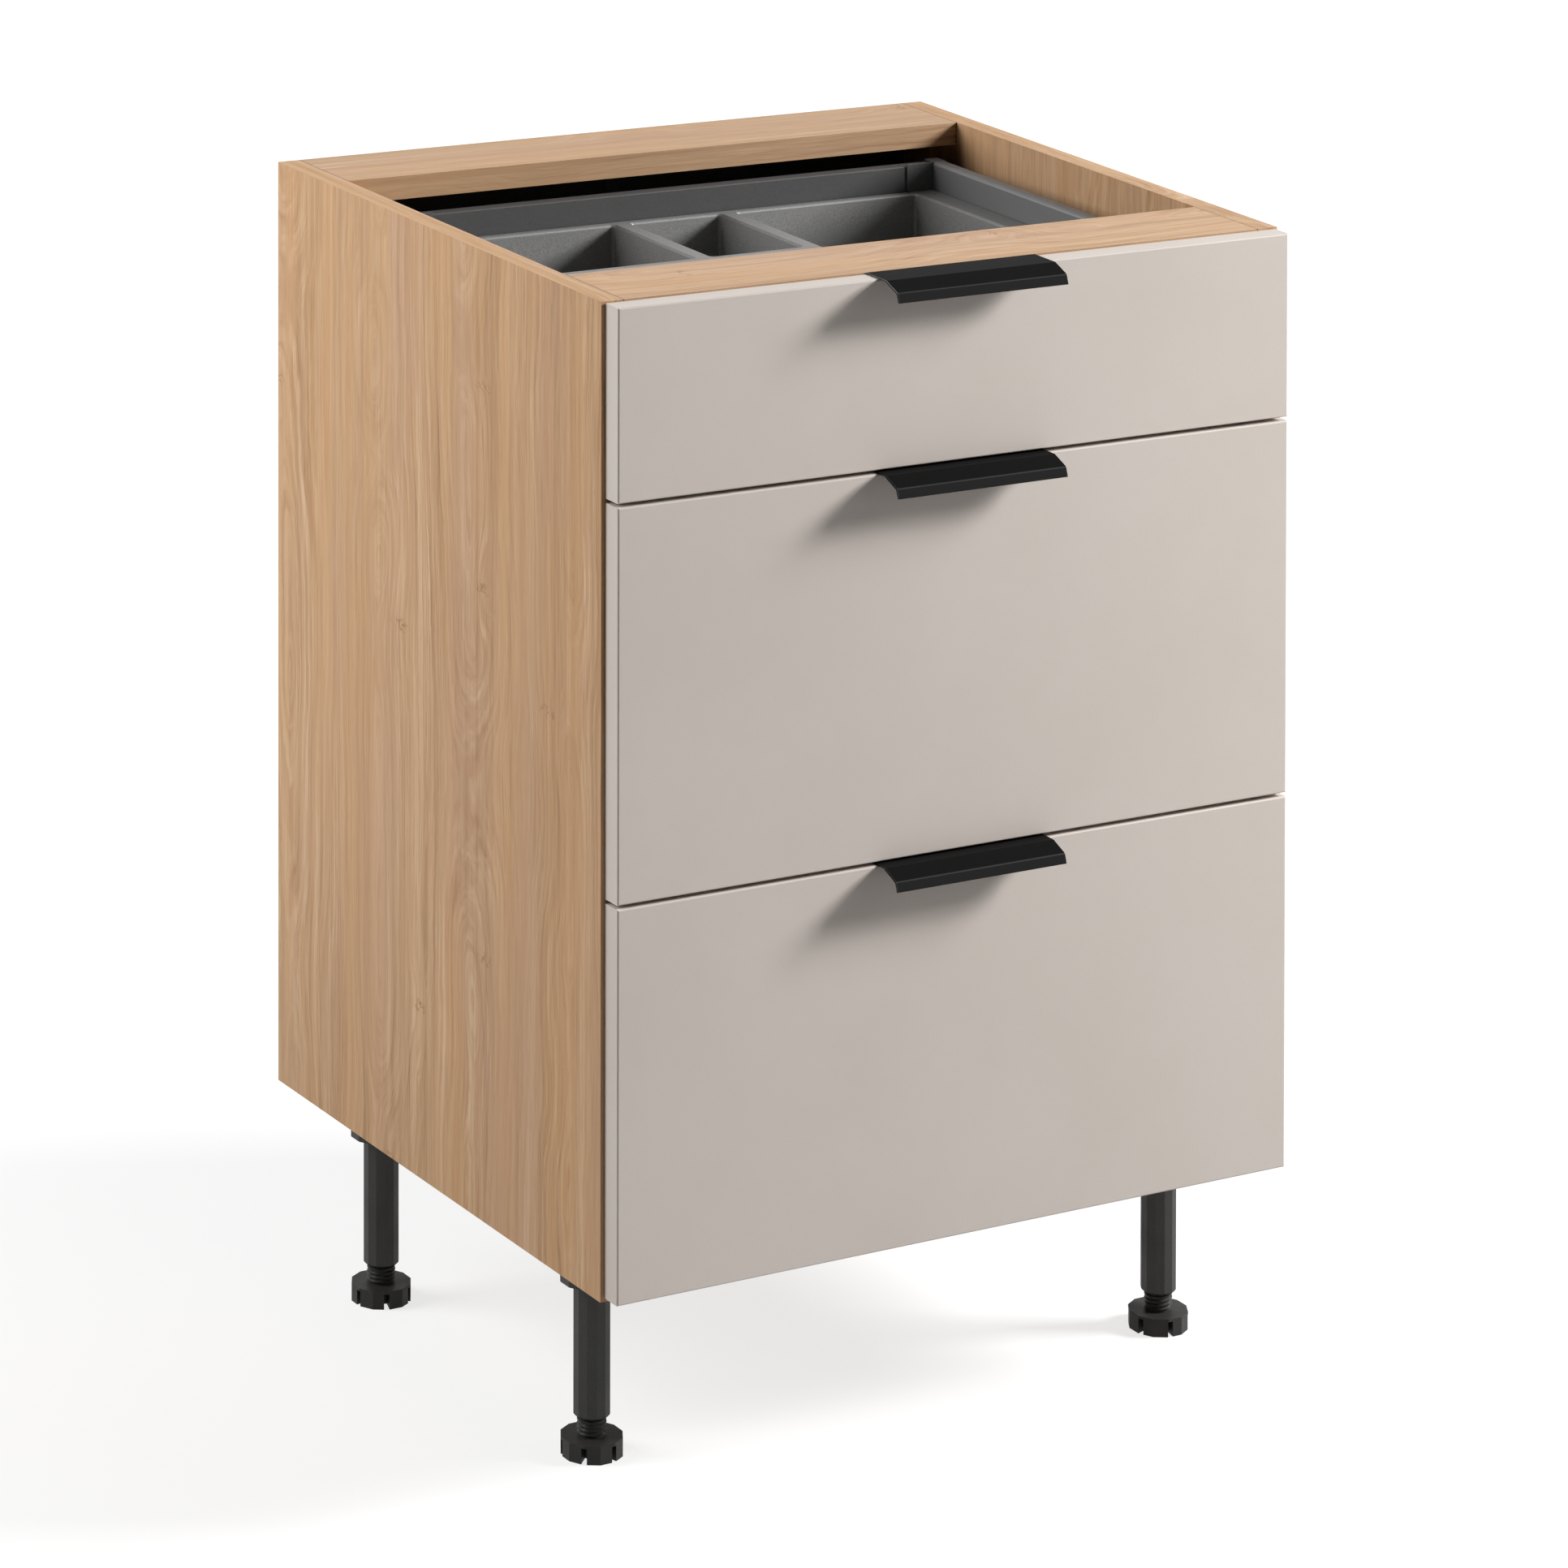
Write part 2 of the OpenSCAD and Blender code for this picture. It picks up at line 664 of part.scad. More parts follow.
// Bars of constant section along Y, one for each [x, z, width, height]
module bars_y(y0, y1, sections) {
    for (s = sections)
        translate([s[0], y0, s[1]]) cube([s[2], y1 - y0, s[3]]);
}

// Cabinet runner: a flange on the wall, and a lipped channel under the drawer side
function channel_wall(dir) = [
    [side_mid_x + (dir < 0 ? -channel_half - runner_t : channel_half), -runner_drop,
     runner_t, channel_lip_z + runner_t + runner_drop],
    [side_mid_x + (dir < 0 ? -channel_half - runner_t : channel_half - channel_lip), channel_lip_z,
     channel_lip + runner_t, runner_t]
];

module cabinet_runners(d) {
    wall_x = inner_w / 2;
    channel_x = side_mid_x - channel_half - runner_t;
    color(bare_steel) in_carcass() both_sides() translate([0, 0, box_z[d]]) difference() {
        bars_y(runner_y, runner_y + drawer_l, concat(
            [[wall_x - runner_t, -runner_drop, runner_t, runner_h]],
            [[channel_x, -runner_drop, wall_x - channel_x, runner_t]],
            channel_wall(-1), channel_wall(1)
        ));
        for (y = runner_screw_y)
            bar_x(wall_x + cut, y, runner_screw_z, runner_screw_r + 0.2, -(runner_t + 2 * cut));
    }
}

module runner_screws() {
    color(bare_steel) in_carcass() both_sides() for (d = DRAWERS)
        translate([0, 0, box_z[d] + runner_screw_z])
            for (y = runner_screw_y) {
                wall_x = inner_w / 2;
                bar_x(wall_x - runner_t, y, 0, runner_screw_r, runner_t + runner_screw_l);
                bar_x(wall_x - runner_t, y, 0, runner_screw_head_r, -runner_screw_head_h);
            }
}

// Sliding runner: an I-section between the cabinet runner and the drawer side
module sliding_runners(d) {
    y0 = runner_y + beam_y;
    color(bare_steel) in_carcass() both_sides() translate([0, 0, box_z[d]])
        bars_y(y0, y0 + beam_l, [
            [side_mid_x - beam_foot_w / 2, beam_bottom, beam_foot_w, beam_t],
            [side_mid_x - beam_t / 2, beam_bottom, beam_t, beam_h],
            [side_mid_x - beam_head_w / 2, beam_top - beam_t, beam_head_w, beam_t]
        ]);
}

// Hollow drawer side: two skins under a cap, a track inside, and a ledge for the base
module side_profile(side, d) {
    outer_x = side_inner_x + side_t;
    track_half = beam_t / 2 + run_gap + seam;
    track_lip_w = side_t / 2 - track_half;
    track_lip_z = beam_top - beam_t - run_gap - skin_t;
    color(grey_metal) in_carcass() mirror([side == LEFT ? 1 : 0, 0, 0])
        translate([0, 0, box_z[d]]) bars_y(profile_start_y, profile_end_y, [
            [side_inner_x, 0, skin_t, side_h],
            [outer_x - skin_t, 0, skin_t, side_h],
            [side_inner_x, side_h - skin_t, side_t, skin_t],
            [side_inner_x, beam_top + run_gap, side_t, skin_t],
            [side_inner_x, track_lip_z, track_lip_w, skin_t],
            [outer_x - track_lip_w, track_lip_z, track_lip_w, skin_t],
            [side_inner_x - ledge_w, 0, ledge_w + skin_t, skin_t]
        ]);
}

module drawer_back(d) {
    color(grey_metal) in_carcass()
        translate([slip - side_inner_x, back_inner_y, box_z[d]])
            cube([2 * (side_inner_x - slip), drawer_back_t, back_h[d]]);
}

module drawer_base(d) {
    color(grey_metal) in_carcass()
        translate([slip - side_inner_x, slip, box_z[d] + base_bottom])
            cube([2 * (side_inner_x - slip), back_inner_y - corner_t - 2 * slip, base_t]);
}

// Rear corner bracket: a plate on the back's inner face, an end cap behind the side
// profile, an arm inside it, and on the lower drawers a post for the gallery rod
module corner_brackets(d) {
    cap_h = max(side_h, back_h[d]);
    cap_z = beam_top + run_gap;
    plate_z = base_top + slip;
    plate_y = back_inner_y - corner_t + seam;
    color(grey_plastic) in_carcass() both_sides() translate([0, 0, box_z[d]]) difference() {
        union() {
            translate([side_inner_x - corner_w, plate_y, plate_z])
                cube([corner_w + side_t, back_inner_y - plate_y, cap_h - plate_z]);
            translate([side_inner_x, plate_y, cap_z])
                cube([side_t, drawer_l - plate_y, cap_h - cap_z]);
            translate([side_mid_x - bracket_arm_w / 2, plate_y - bracket_arm_l, bracket_low])
                cube([bracket_arm_w, bracket_arm_l + fit, bracket_high - bracket_low]);
        }
        if (d != TOP)
            bar_y(side_mid_x, plate_y - cut, drawer_l - bracket_t, rod_z, rod_r + fit);
    }
}

// Front bracket: a plate behind the front with two pegs, and an arm inside the side profile;
// on the lower drawers the plate runs up to a cup for the gallery rod
module front_brackets(d) {
    y0 = front_back_y;
    x0 = side_mid_x - bracket_arm_w / 2;
    plate_top = d == TOP ? bracket_high : rod_z;
    pegs = d == TOP ? peg_z : concat(peg_z, [rod_z]);
    color(grey_plastic) in_carcass() both_sides() translate([0, 0, box_z[d]]) difference() {
        union() {
            translate([x0, y0, bracket_low])
                cube([bracket_arm_w, bracket_arm_l, bracket_high - bracket_low]);
            translate([x0, y0, bracket_low])
                cube([bracket_arm_w, bracket_t, plate_top - bracket_low]);
            for (z = pegs) bar_y(side_mid_x, y0 - peg_l, y0 + cut, z, peg_r);
            if (d != TOP) bar_y(side_mid_x, y0, y0 + rod_holder_l, rod_z, rod_holder_r);
        }
        if (d != TOP)
            bar_y(side_mid_x, y0 + bracket_t, y0 + rod_holder_l + cut, rod_z, rod_r + fit);
    }
}

module gallery_rods(d) {
    color(grey_metal) in_carcass() both_sides()
        bar_y(side_mid_x, front_back_y + bracket_t + fit, drawer_l - bracket_t - fit,
              box_z[d] + rod_z, rod_r);
}

// Front with rounded edges, peg holes, and a pocket behind its top edge for the handle's tab
module front_panel(d) {
    w = front_w;
    h = front_h[d];
    r = front_edge_r;
    top_z = front_z[d] + h;
    color(greige) in_carcass() difference() {
        intersection() {
            translate([-w / 2, front_face_y, front_z[d]])
                linear_extrude(height = h) rounded_rect(w, front_t, r);
            translate([-w / 2, front_face_y, front_z[d]])
                rotate([90, 0, 90]) linear_extrude(height = w) rounded_rect(front_t, h, r);
        }
        translate([-handle_l / 2 - slip, front_back_y - pocket_d, top_z - tab_h - slip])
            cube([handle_l + 2 * slip, pocket_d + cut, tab_h + slip + cut]);
        for (s = [-1, 1]) {
            bar_y(s * handle_screw_pitch / 2, tab_back_y - handle_screw_l, front_back_y,
                  top_z - handle_screw_drop, handle_screw_r);
            for (z = peg_z)
                bar_y(s * side_mid_x, front_back_y - peg_l - fit, front_back_y + cut,
                      box_z[d] + z, peg_r + fit);
            if (d != TOP)
                bar_y(s * side_mid_x, front_back_y - peg_l - fit, front_back_y + cut,
                      box_z[d] + rod_z, peg_r + fit);
        }
    }
}

// Outline of the flange, slope and lip: first number forward of the carcass front,
// second up from the flange's top
module handle_outline() {
    bend = [handle_reach - slope_reach - lip_reach, 0];
    knee = bend + [slope_reach, -slope_drop];
    tip = knee + [lip_reach, -lip_drop];
    slope_in = unit([-slope_drop, -slope_reach]);
    lip_in = unit([-lip_drop, -lip_reach]);
    inner_knee = knee + unit(slope_in + lip_in) * lip_t;
    inner_bend = [bend[0] - 1, -flange_t];
    polygon(concat(
        [[front_clear, -flange_t], [front_clear, 0]],
        corner([0, 0], bend, knee, bend_r),
        corner(bend, knee, tip, bend_r),
        [tip, tip + lip_in * lip_t],
        [inner_knee, inner_bend]
    ));
}

module handle(d) {
    top_z = front_z[d] + front_h[d] + flange_t;
    color(black_metal) in_carcass() difference() {
        union() {
            translate([-handle_l / 2, 0, top_z]) rotate([90, 0, 90]) mirror([1, 0, 0])
                linear_extrude(height = handle_l) handle_outline();
            translate([-handle_l / 2, tab_back_y - tab_t, top_z - tab_h])
                cube([handle_l, tab_t, tab_h - flange_t / 2]);
        }
        for (s = [-1, 1])
            bar_y(s * handle_screw_pitch / 2, tab_back_y - tab_t - cut, tab_back_y + cut,
                  top_z - flange_t - handle_screw_drop, handle_screw_r + 0.25);
    }
}

module handle_screws(d) {
    z = front_z[d] + front_h[d] - handle_screw_drop;
    color(bare_steel) in_carcass() for (s = [-1, 1]) translate([s * handle_screw_pitch / 2, 0, z]) {
        bar_y(0, tab_back_y - handle_screw_l, tab_back_y, 0, handle_screw_r);
        bar_y(0, tab_back_y, tab_back_y + handle_head_h, 0, handle_head_r);
    }
}

module compartment_box(c, grow, z0, z1) {
    translate([c[0] - grow, c[2] - grow, z0]) linear_extrude(height = z1 - z0)
        rounded_rect(c[1] - c[0] + 2 * grow, c[3] - c[2] + 2 * grow, tray_corner_r + grow);
}

module cutlery_tray() {
    color(grey_plastic) in_carcass() translate([0, 0, box_z[TOP] + base_top + slip]) difference() {
        union() {
            translate([-tray_x, tray_y0, tray_h - tray_t])
                linear_extrude(height = tray_t) rounded_rect(2 * tray_x, tray_y1 - tray_y0, tray_edge_r);
            for (c = compartments) compartment_box(c, tray_t, 0, tray_h - tray_t / 2);
        }
        for (c = compartments) compartment_box(c, 0, tray_t, tray_h + cut);
    }
}

side_panel(LEFT);  // side_left
side_panel(RIGHT);  // side_right
bottom_panel();
top_rail(0);  // rail_front
top_rail(1);  // rail_back
back_panel(LEFT);  // back_panel_left
back_panel(RIGHT);  // back_panel_right
back_joint_strip();
back_screws();
dowels();
cam_housings();
cam_bolts();
leg_sockets();
leg_socket_screws();
leg_tube(LEFT, 0);  // leg_tube_front_left
leg_tube(RIGHT, 0);  // leg_tube_front_right
leg_tube(LEFT, 1);  // leg_tube_back_left
leg_tube(RIGHT, 1);  // leg_tube_back_right
cabinet_runners(TOP);  // cabinet_runners_top
cabinet_runners(MIDDLE);  // cabinet_runners_middle
cabinet_runners(BOTTOM);  // cabinet_runners_bottom
runner_screws();
foot(LEFT, 0);  // foot_front_left
foot(RIGHT, 0);  // foot_front_right
foot(LEFT, 1);  // foot_back_left
foot(RIGHT, 1);  // foot_back_right
sliding_runners(TOP);  // sliding_runners_top
sliding_runners(MIDDLE);  // sliding_runners_middle
sliding_runners(BOTTOM);  // sliding_runners_bottom
front_panel(TOP);  // front_top
handle(TOP);  // handle_top
handle_screws(TOP);  // handle_screws_top
side_profile(LEFT, TOP);  // side_profile_left_top
side_profile(RIGHT, TOP);  // side_profile_right_top
drawer_back(TOP);  // drawer_back_top
drawer_base(TOP);  // drawer_base_top
front_brackets(TOP);  // front_brackets_top
corner_brackets(TOP);  // corner_brackets_top
cutlery_tray();
front_panel(MIDDLE);  // front_middle
handle(MIDDLE);  // handle_middle
handle_screws(MIDDLE);  // handle_screws_middle
side_profile(LEFT, MIDDLE);  // side_profile_left_middle
side_profile(RIGHT, MIDDLE);  // side_profile_right_middle
drawer_back(MIDDLE);  // drawer_back_middle
drawer_base(MIDDLE);  // drawer_base_middle
front_brackets(MIDDLE);  // front_brackets_middle
corner_brackets(MIDDLE);  // corner_brackets_middle
gallery_rods(MIDDLE);  // gallery_rods_middle
front_panel(BOTTOM);  // front_bottom
handle(BOTTOM);  // handle_bottom
handle_screws(BOTTOM);  // handle_screws_bottom
side_profile(LEFT, BOTTOM);  // side_profile_left_bottom
side_profile(RIGHT, BOTTOM);  // side_profile_right_bottom
drawer_back(BOTTOM);  // drawer_back_bottom
drawer_base(BOTTOM);  // drawer_base_bottom
front_brackets(BOTTOM);  // front_brackets_bottom
corner_brackets(BOTTOM);  // corner_brackets_bottom
gallery_rods(BOTTOM);  // gallery_rods_bottom
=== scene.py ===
import json
import math

import bmesh
import bpy
from mathutils import Matrix, Vector

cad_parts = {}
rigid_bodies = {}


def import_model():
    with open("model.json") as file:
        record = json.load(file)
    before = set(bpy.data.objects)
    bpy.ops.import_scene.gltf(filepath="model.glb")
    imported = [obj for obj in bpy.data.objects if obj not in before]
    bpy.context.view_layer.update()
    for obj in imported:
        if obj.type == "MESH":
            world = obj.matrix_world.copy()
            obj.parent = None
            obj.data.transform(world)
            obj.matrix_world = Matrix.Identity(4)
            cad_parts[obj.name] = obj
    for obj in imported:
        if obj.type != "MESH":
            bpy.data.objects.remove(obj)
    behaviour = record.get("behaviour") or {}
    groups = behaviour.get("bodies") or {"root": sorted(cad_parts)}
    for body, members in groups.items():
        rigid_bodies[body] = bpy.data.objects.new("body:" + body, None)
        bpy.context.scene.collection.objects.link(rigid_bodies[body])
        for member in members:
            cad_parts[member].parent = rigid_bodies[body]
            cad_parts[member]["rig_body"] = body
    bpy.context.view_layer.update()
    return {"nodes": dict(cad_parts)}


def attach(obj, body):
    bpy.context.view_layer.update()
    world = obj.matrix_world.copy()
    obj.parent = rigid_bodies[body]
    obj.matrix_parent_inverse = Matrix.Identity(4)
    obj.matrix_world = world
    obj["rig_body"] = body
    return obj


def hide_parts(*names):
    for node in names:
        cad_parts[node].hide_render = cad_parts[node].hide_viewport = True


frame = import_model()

nodes = frame["nodes"]
scene = bpy.context.scene
scene.view_settings.view_transform = "Standard"

# Shapes are given in millimetres, and materials, lamps and the camera in metres
MM = 0.001
DRAWERS = ("top", "middle", "bottom")


def node_box(name):
    """The low and high corners of a node's box at rest, in millimetres to two places."""
    points = [nodes[name].matrix_world @ vertex.co for vertex in nodes[name].data.vertices]
    return [[round(pick(p[i] for p in points) / MM, 2) for i in range(3)] for pick in (min, max)]


def colour(r, g, b):
    """A screen colour of 0 to 255 as Blender's linear colour."""
    shares = (c / 255 for c in (r, g, b))
    return tuple(c / 12.92 if c <= 0.04045 else ((c + 0.055) / 1.055) ** 2.4 for c in shares) + (1.0,)


def grey(level):
    """A linear grey."""
    return (level, level, level, 1.0)


# Materials

# Oak decor: metres between the middles of neighbouring arches, and cells with or without a knot to the metre
RING_SPAN = 0.143
KNOTS_ACROSS = 9.5
KNOTS_ALONG = 4.6
# The inner faces of the sides, in metres from the middle
INNER_X = node_box("side_right")[0][0] * MM


class Shader:
    """A material's node tree, built with short calls. A value that is a socket is linked, others are set."""

    def __init__(self, name, tree=None):
        if tree is None:
            self.material = bpy.data.materials.new(name)
            self.material.use_nodes = True
            tree = self.material.node_tree
        self.tree = tree
        self.tree.nodes.clear()

    def node(self, kind, inputs=None, **settings):
        made = self.tree.nodes.new("ShaderNode" + kind)
        for key, value in settings.items():
            setattr(made, key, value)
        for key, value in (inputs or {}).items():
            if isinstance(value, bpy.types.NodeSocket):
                self.tree.links.new(value, made.inputs[key])
            else:
                made.inputs[key].default_value = value
        return made

    def place(self):
        """The point of the surface in the shared frame, in metres, as x, y and z."""
        point = self.node("TexCoord").outputs["Object"]
        return self.node("SeparateXYZ", {0: point}).outputs[:]

    def facing(self):
        """The direction that the surface faces in the shared frame, as x, y and z."""
        normal = self.node("TexCoord").outputs["Normal"]
        return self.node("SeparateXYZ", {0: normal}).outputs[:]

    def vector(self, x, y, z=0.0):
        return self.node("CombineXYZ", {0: x, 1: y, 2: z}).outputs[0]

    def math(self, operation, a, b=0.0, c=0.0, clamp=False):
        made = self.node("Math", {0: a, 1: b, 2: c}, operation=operation, use_clamp=clamp)
        return made.outputs[0]

    def add(self, a, b):
        return self.math("ADD", a, b)

    def times(self, a, b):
        return self.math("MULTIPLY", a, b)

    def over(self, value, start, end, low=0.0, high=1.0, smooth=True):
        """value from start to end, spread from low to high."""
        kind = "SMOOTHSTEP" if smooth else "LINEAR"
        given = {"Value": value, "From Min": start, "From Max": end, "To Min": low, "To Max": high}
        return self.node("MapRange", given, interpolation_type=kind).outputs[0]

    def noise(self, vector, scale=1.0, detail=2.0, rough=0.5, flat=False, warp=0.0):
        given = {"Vector": vector, "Scale": scale, "Detail": detail, "Roughness": rough, "Distortion": warp}
        return self.node("TexNoise", given, noise_dimensions="2D" if flat else "3D").outputs[0]

    def mix(self, factor, a, b):
        made = self.node("Mix", {"Factor": factor}, data_type="RGBA")
        for socket, value in zip([s for s in made.inputs if s.type == "RGBA"], (a, b)):
            if isinstance(value, bpy.types.NodeSocket):
                self.tree.links.new(value, socket)
            else:
                socket.default_value = value
        return next(s for s in made.outputs if s.type == "RGBA")

    def ramp(self, factor, stops):
        made = self.node("ValToRGB", {0: factor})
        elements = made.color_ramp.elements
        for _ in stops[2:]:
            elements.new(0.5)
        for element, (position, tint) in zip(elements, stops):
            element.position = position
            element.color = tint
        return made.outputs[0]

    def bump(self, height, strength, distance, under=None):
        given = {"Height": height, "Strength": strength, "Distance": distance}
        if under is not None:
            given["Normal"] = under
        return self.node("Bump", given).outputs[0]

    def finish(self, **given):
        """Ends the tree in a Principled surface. Names are the sockets' names with _ for spaces."""
        inputs = {key.replace("_", " "): value for key, value in given.items()}
        surface = self.node("BsdfPrincipled", inputs)
        out = self.node("OutputMaterial")
        self.tree.links.new(surface.outputs[0], out.inputs[0])
        return self.material


def wood(name, along, seed, centre=0.0, edging=False, ends=False, face=1.0, front=1.0, shine=0.15):
    """Oak decor: streaks that follow the growth rings of a board cut lengthwise, with arches round centre and
    every RING_SPAN beside it, and small knots. front darkens the edges along its front and back, and
    face darkens the rest.
    With edging, faces that point up or down have the grain of an edge band, front to back. With ends, the
    last millimetre before the sides is dark, like the joint there."""
    s = Shader(name)
    x, y, z = s.place()
    across, length = {"X": (s.add(y, z), x), "Z": (s.add(x, y), z)}[along]
    if edging:
        up = s.over(s.math("ABSOLUTE", s.facing()[2]), 0.7, 0.75)
        across = s.node("Mix", {"Factor": up, "A": across, "B": s.add(x, z)}).outputs[0]
        length = s.node("Mix", {"Factor": up, "A": length, "B": y}).outputs[0]
    u = s.add(across, seed * 1.37)
    v = s.add(length, seed * 2.11)

    def field(cross, run, detail, rough, source=u):
        """Noise with that many features to the metre across and along the grain."""
        return s.noise(s.vector(s.times(source, cross), s.times(v, run)), 1.0, detail, rough, flat=True)

    def centred(value, by):
        return s.times(s.math("SUBTRACT", value, 0.5), by)

    def hypot(a, b):
        return s.math("SQRT", s.add(s.times(a, a), s.times(b, b)))

    # Knots: some cells of a loose grid have one
    grid = s.vector(s.times(u, KNOTS_ACROSS), s.times(v, KNOTS_ALONG))
    cell = s.node("TexVoronoi", {"Vector": grid, "Scale": 1.0}, voronoi_dimensions="2D").outputs
    spot = s.node("SeparateXYZ", {0: cell["Position"]}).outputs
    draw = s.node("SeparateColor", {0: cell["Color"]}).outputs
    off_u = s.math("SUBTRACT", u, s.math("DIVIDE", spot[0], KNOTS_ACROSS))
    off_v = s.math("SUBTRACT", v, s.math("DIVIDE", spot[1], KNOTS_ALONG))
    knotty = s.over(draw[0], 0.45, 0.55)
    near = s.times(knotty, s.over(hypot(s.times(off_u, 40.0), s.times(off_v, 16.0)), 0.0, 1.0, 1.0, 0.0))
    heart = s.times(knotty, s.over(hypot(s.times(off_u, 75.0), s.times(off_v, 150.0)), 0.4, 1.0, 1.0, 0.0))
    # A ring is hypot(aside, depth) from the pith, which runs that far aside and that deep behind the face
    drift = centred(field(2.5, 1.6, 1.0, 0.5), 0.05)
    aside = s.math("PINGPONG", s.add(s.math("SUBTRACT", across, centre), drift), RING_SPAN / 2)
    depth = centred(field(5.0, 3.3, 1.0, 0.4, s.add(u, 5.2)), 0.16)
    ripple = s.add(centred(field(70.0, 18.0, 2.0, 0.6), 0.0036),
                   centred(field(150.0, 60.0, 1.0, 0.6), 0.0022))
    rings = s.add(s.add(hypot(aside, depth), ripple), s.times(near, centred(draw[1], 0.05)))

    def growth(rate, cross, run, detail, rough):
        """Streaks that follow the rings and slowly change across and along the board."""
        point = s.vector(s.times(rings, rate), s.times(u, cross), s.times(v, run))
        return s.noise(point, 1.0, detail, rough)

    broad = growth(45.0, 9.0, 0.8, 1.0, 0.5)
    lines = growth(190.0, 30.0, 1.6, 2.0, 0.55)
    thin = growth(520.0, 60.0, 4.0, 1.0, 0.5)
    zones = field(24.0, 0.6, 2.0, 0.5)
    straight = field(130.0, 1.0, 2.0, 0.55)
    fibre = field(900.0, 16.0, 2.0, 0.6)
    pores = s.over(field(1300.0, 42.0, 2.0, 0.5), 0.63, 0.72)
    strength = s.over(field(9.0, 1.4, 2.0, 0.5, s.add(u, 3.1)), 0.35, 0.65, 0.4, 1.0)
    tone = s.add(centred(broad, 0.38), centred(zones, 0.24))
    tone = s.add(tone, s.times(s.add(centred(lines, 0.80), centred(thin, 0.65)), strength))
    tone = s.add(tone, s.add(centred(straight, 0.46), centred(fibre, 0.55)))
    tone = s.math("ADD", tone, 0.5, clamp=True)
    body = s.ramp(tone, [(0.0, colour(136, 100, 68)), (0.35, colour(175, 138, 103)),
                         (0.6, colour(192, 157, 122)), (1.0, colour(216, 185, 152))])
    warm = s.over(field(32.0, 1.3, 3.0, 0.6), 0.40, 0.66)
    body = s.mix(s.times(warm, 0.36), body, colour(198, 154, 108))
    pink = s.over(field(18.0, 1.5, 2.0, 0.5, s.add(u, 7.3)), 0.45, 0.7)
    body = s.mix(s.times(pink, 0.30), body, colour(176, 142, 120))
    body = s.mix(s.times(pores, 0.2), body, colour(140, 104, 74))
    squiggle = s.math("ABSOLUTE", s.math("SUBTRACT", field(110.0, 170.0, 1.0, 0.5), 0.5))
    mark = s.times(heart, s.over(squiggle, 0.0, 0.09, 1.0, 0.0))
    body = s.mix(s.times(mark, 0.65), body, colour(136, 98, 70))
    if face < 1.0 or front < 1.0:
        shade = s.over(s.math("ABSOLUTE", s.facing()[1]), 0.6, 0.8, face, front)
        body = s.node("VectorMath", {0: body, "Scale": shade}, operation="SCALE").outputs[0]
    if ends:
        joint = s.over(s.math("ABSOLUTE", x), INNER_X - 0.0012, INNER_X - 0.0007)
        body = s.mix(s.times(joint, 0.8), body, colour(56, 38, 25))
    relief = s.add(s.times(fibre, 0.5), s.times(s.math("SUBTRACT", 1.0, pores), 0.5))
    return s.finish(
        Base_Color=body,
        Roughness=s.over(tone, 0.0, 1.0, 0.56, 0.46, smooth=False),
        Specular_IOR_Level=shine,
        Normal=s.bump(relief, 0.25, 0.00012),
    )


def greige():
    """Smooth matt foil with a very fine orange peel."""
    s = Shader("front_foil")
    point = s.vector(*s.place())
    cloud = s.noise(point, 7.0, 3.0, 0.6)
    peel = s.noise(point, 650.0, 3.0, 0.55)
    body = s.mix(s.over(cloud, 0.3, 0.7), colour(201, 191, 183), colour(204, 195, 187))
    body = s.mix(s.over(peel, 0.3, 0.7, 0.0, 0.16), body, colour(190, 181, 173))
    return s.finish(
        Base_Color=body,
        Roughness=s.over(peel, 0.3, 0.7, 0.44, 0.52, smooth=False),
        Specular_IOR_Level=0.4,
        Normal=s.bump(peel, 0.12, 0.00008),
    )


def hardboard():
    """Thin fibre board, painted black."""
    s = Shader("black_fibreboard")
    point = s.vector(*s.place())
    fibres = s.noise(point, 420.0, 4.0, 0.65, warp=0.6)
    cloud = s.noise(point, 14.0, 3.0, 0.6)
    body = s.mix(fibres, colour(40, 38, 36), colour(55, 52, 50))
    body = s.mix(s.over(cloud, 0.35, 0.7, 0.0, 0.35), body, colour(58, 55, 53))
    return s.finish(
        Base_Color=body,
        Roughness=s.over(fibres, 0.3, 0.7, 0.62, 0.5, smooth=False),
        Specular_IOR_Level=0.25,
        Normal=s.bump(fibres, 0.3, 0.0002),
    )


def melamine():
    """Grey melamine face with a fine pearl grain, for drawer bases and backs."""
    s = Shader("grey_melamine")
    point = s.vector(*s.place())
    grain = s.noise(point, 900.0, 2.0, 0.6)
    cloud = s.noise(point, 30.0, 4.0, 0.6)
    body = s.mix(grain, colour(61, 61, 61), colour(76, 76, 76))
    body = s.mix(s.over(cloud, 0.3, 0.7, 0.0, 0.3), body, colour(69, 70, 71))
    return s.finish(
        Base_Color=body,
        Roughness=s.over(grain, 0.3, 0.7, 0.42, 0.55, smooth=False),
        Specular_IOR_Level=0.35,
        Normal=s.bump(grain, 0.2, 0.0001),
    )


def powder_coat():
    """Fine-textured grey coating on the steel drawer sides."""
    s = Shader("grey_powder_coat")
    point = s.vector(*s.place())
    peel = s.noise(point, 1100.0, 3.0, 0.6)
    cloud = s.noise(point, 9.0, 2.0, 0.5)
    body = s.mix(peel, colour(98, 98, 99), colour(118, 118, 118))
    body = s.mix(s.over(cloud, 0.3, 0.7, 0.0, 0.2), body, colour(100, 101, 103))
    return s.finish(
        Base_Color=body,
        Metallic=0.25,
        Roughness=s.over(peel, 0.3, 0.7, 0.38, 0.5, smooth=False),
        Normal=s.bump(peel, 0.25, 0.0001),
    )


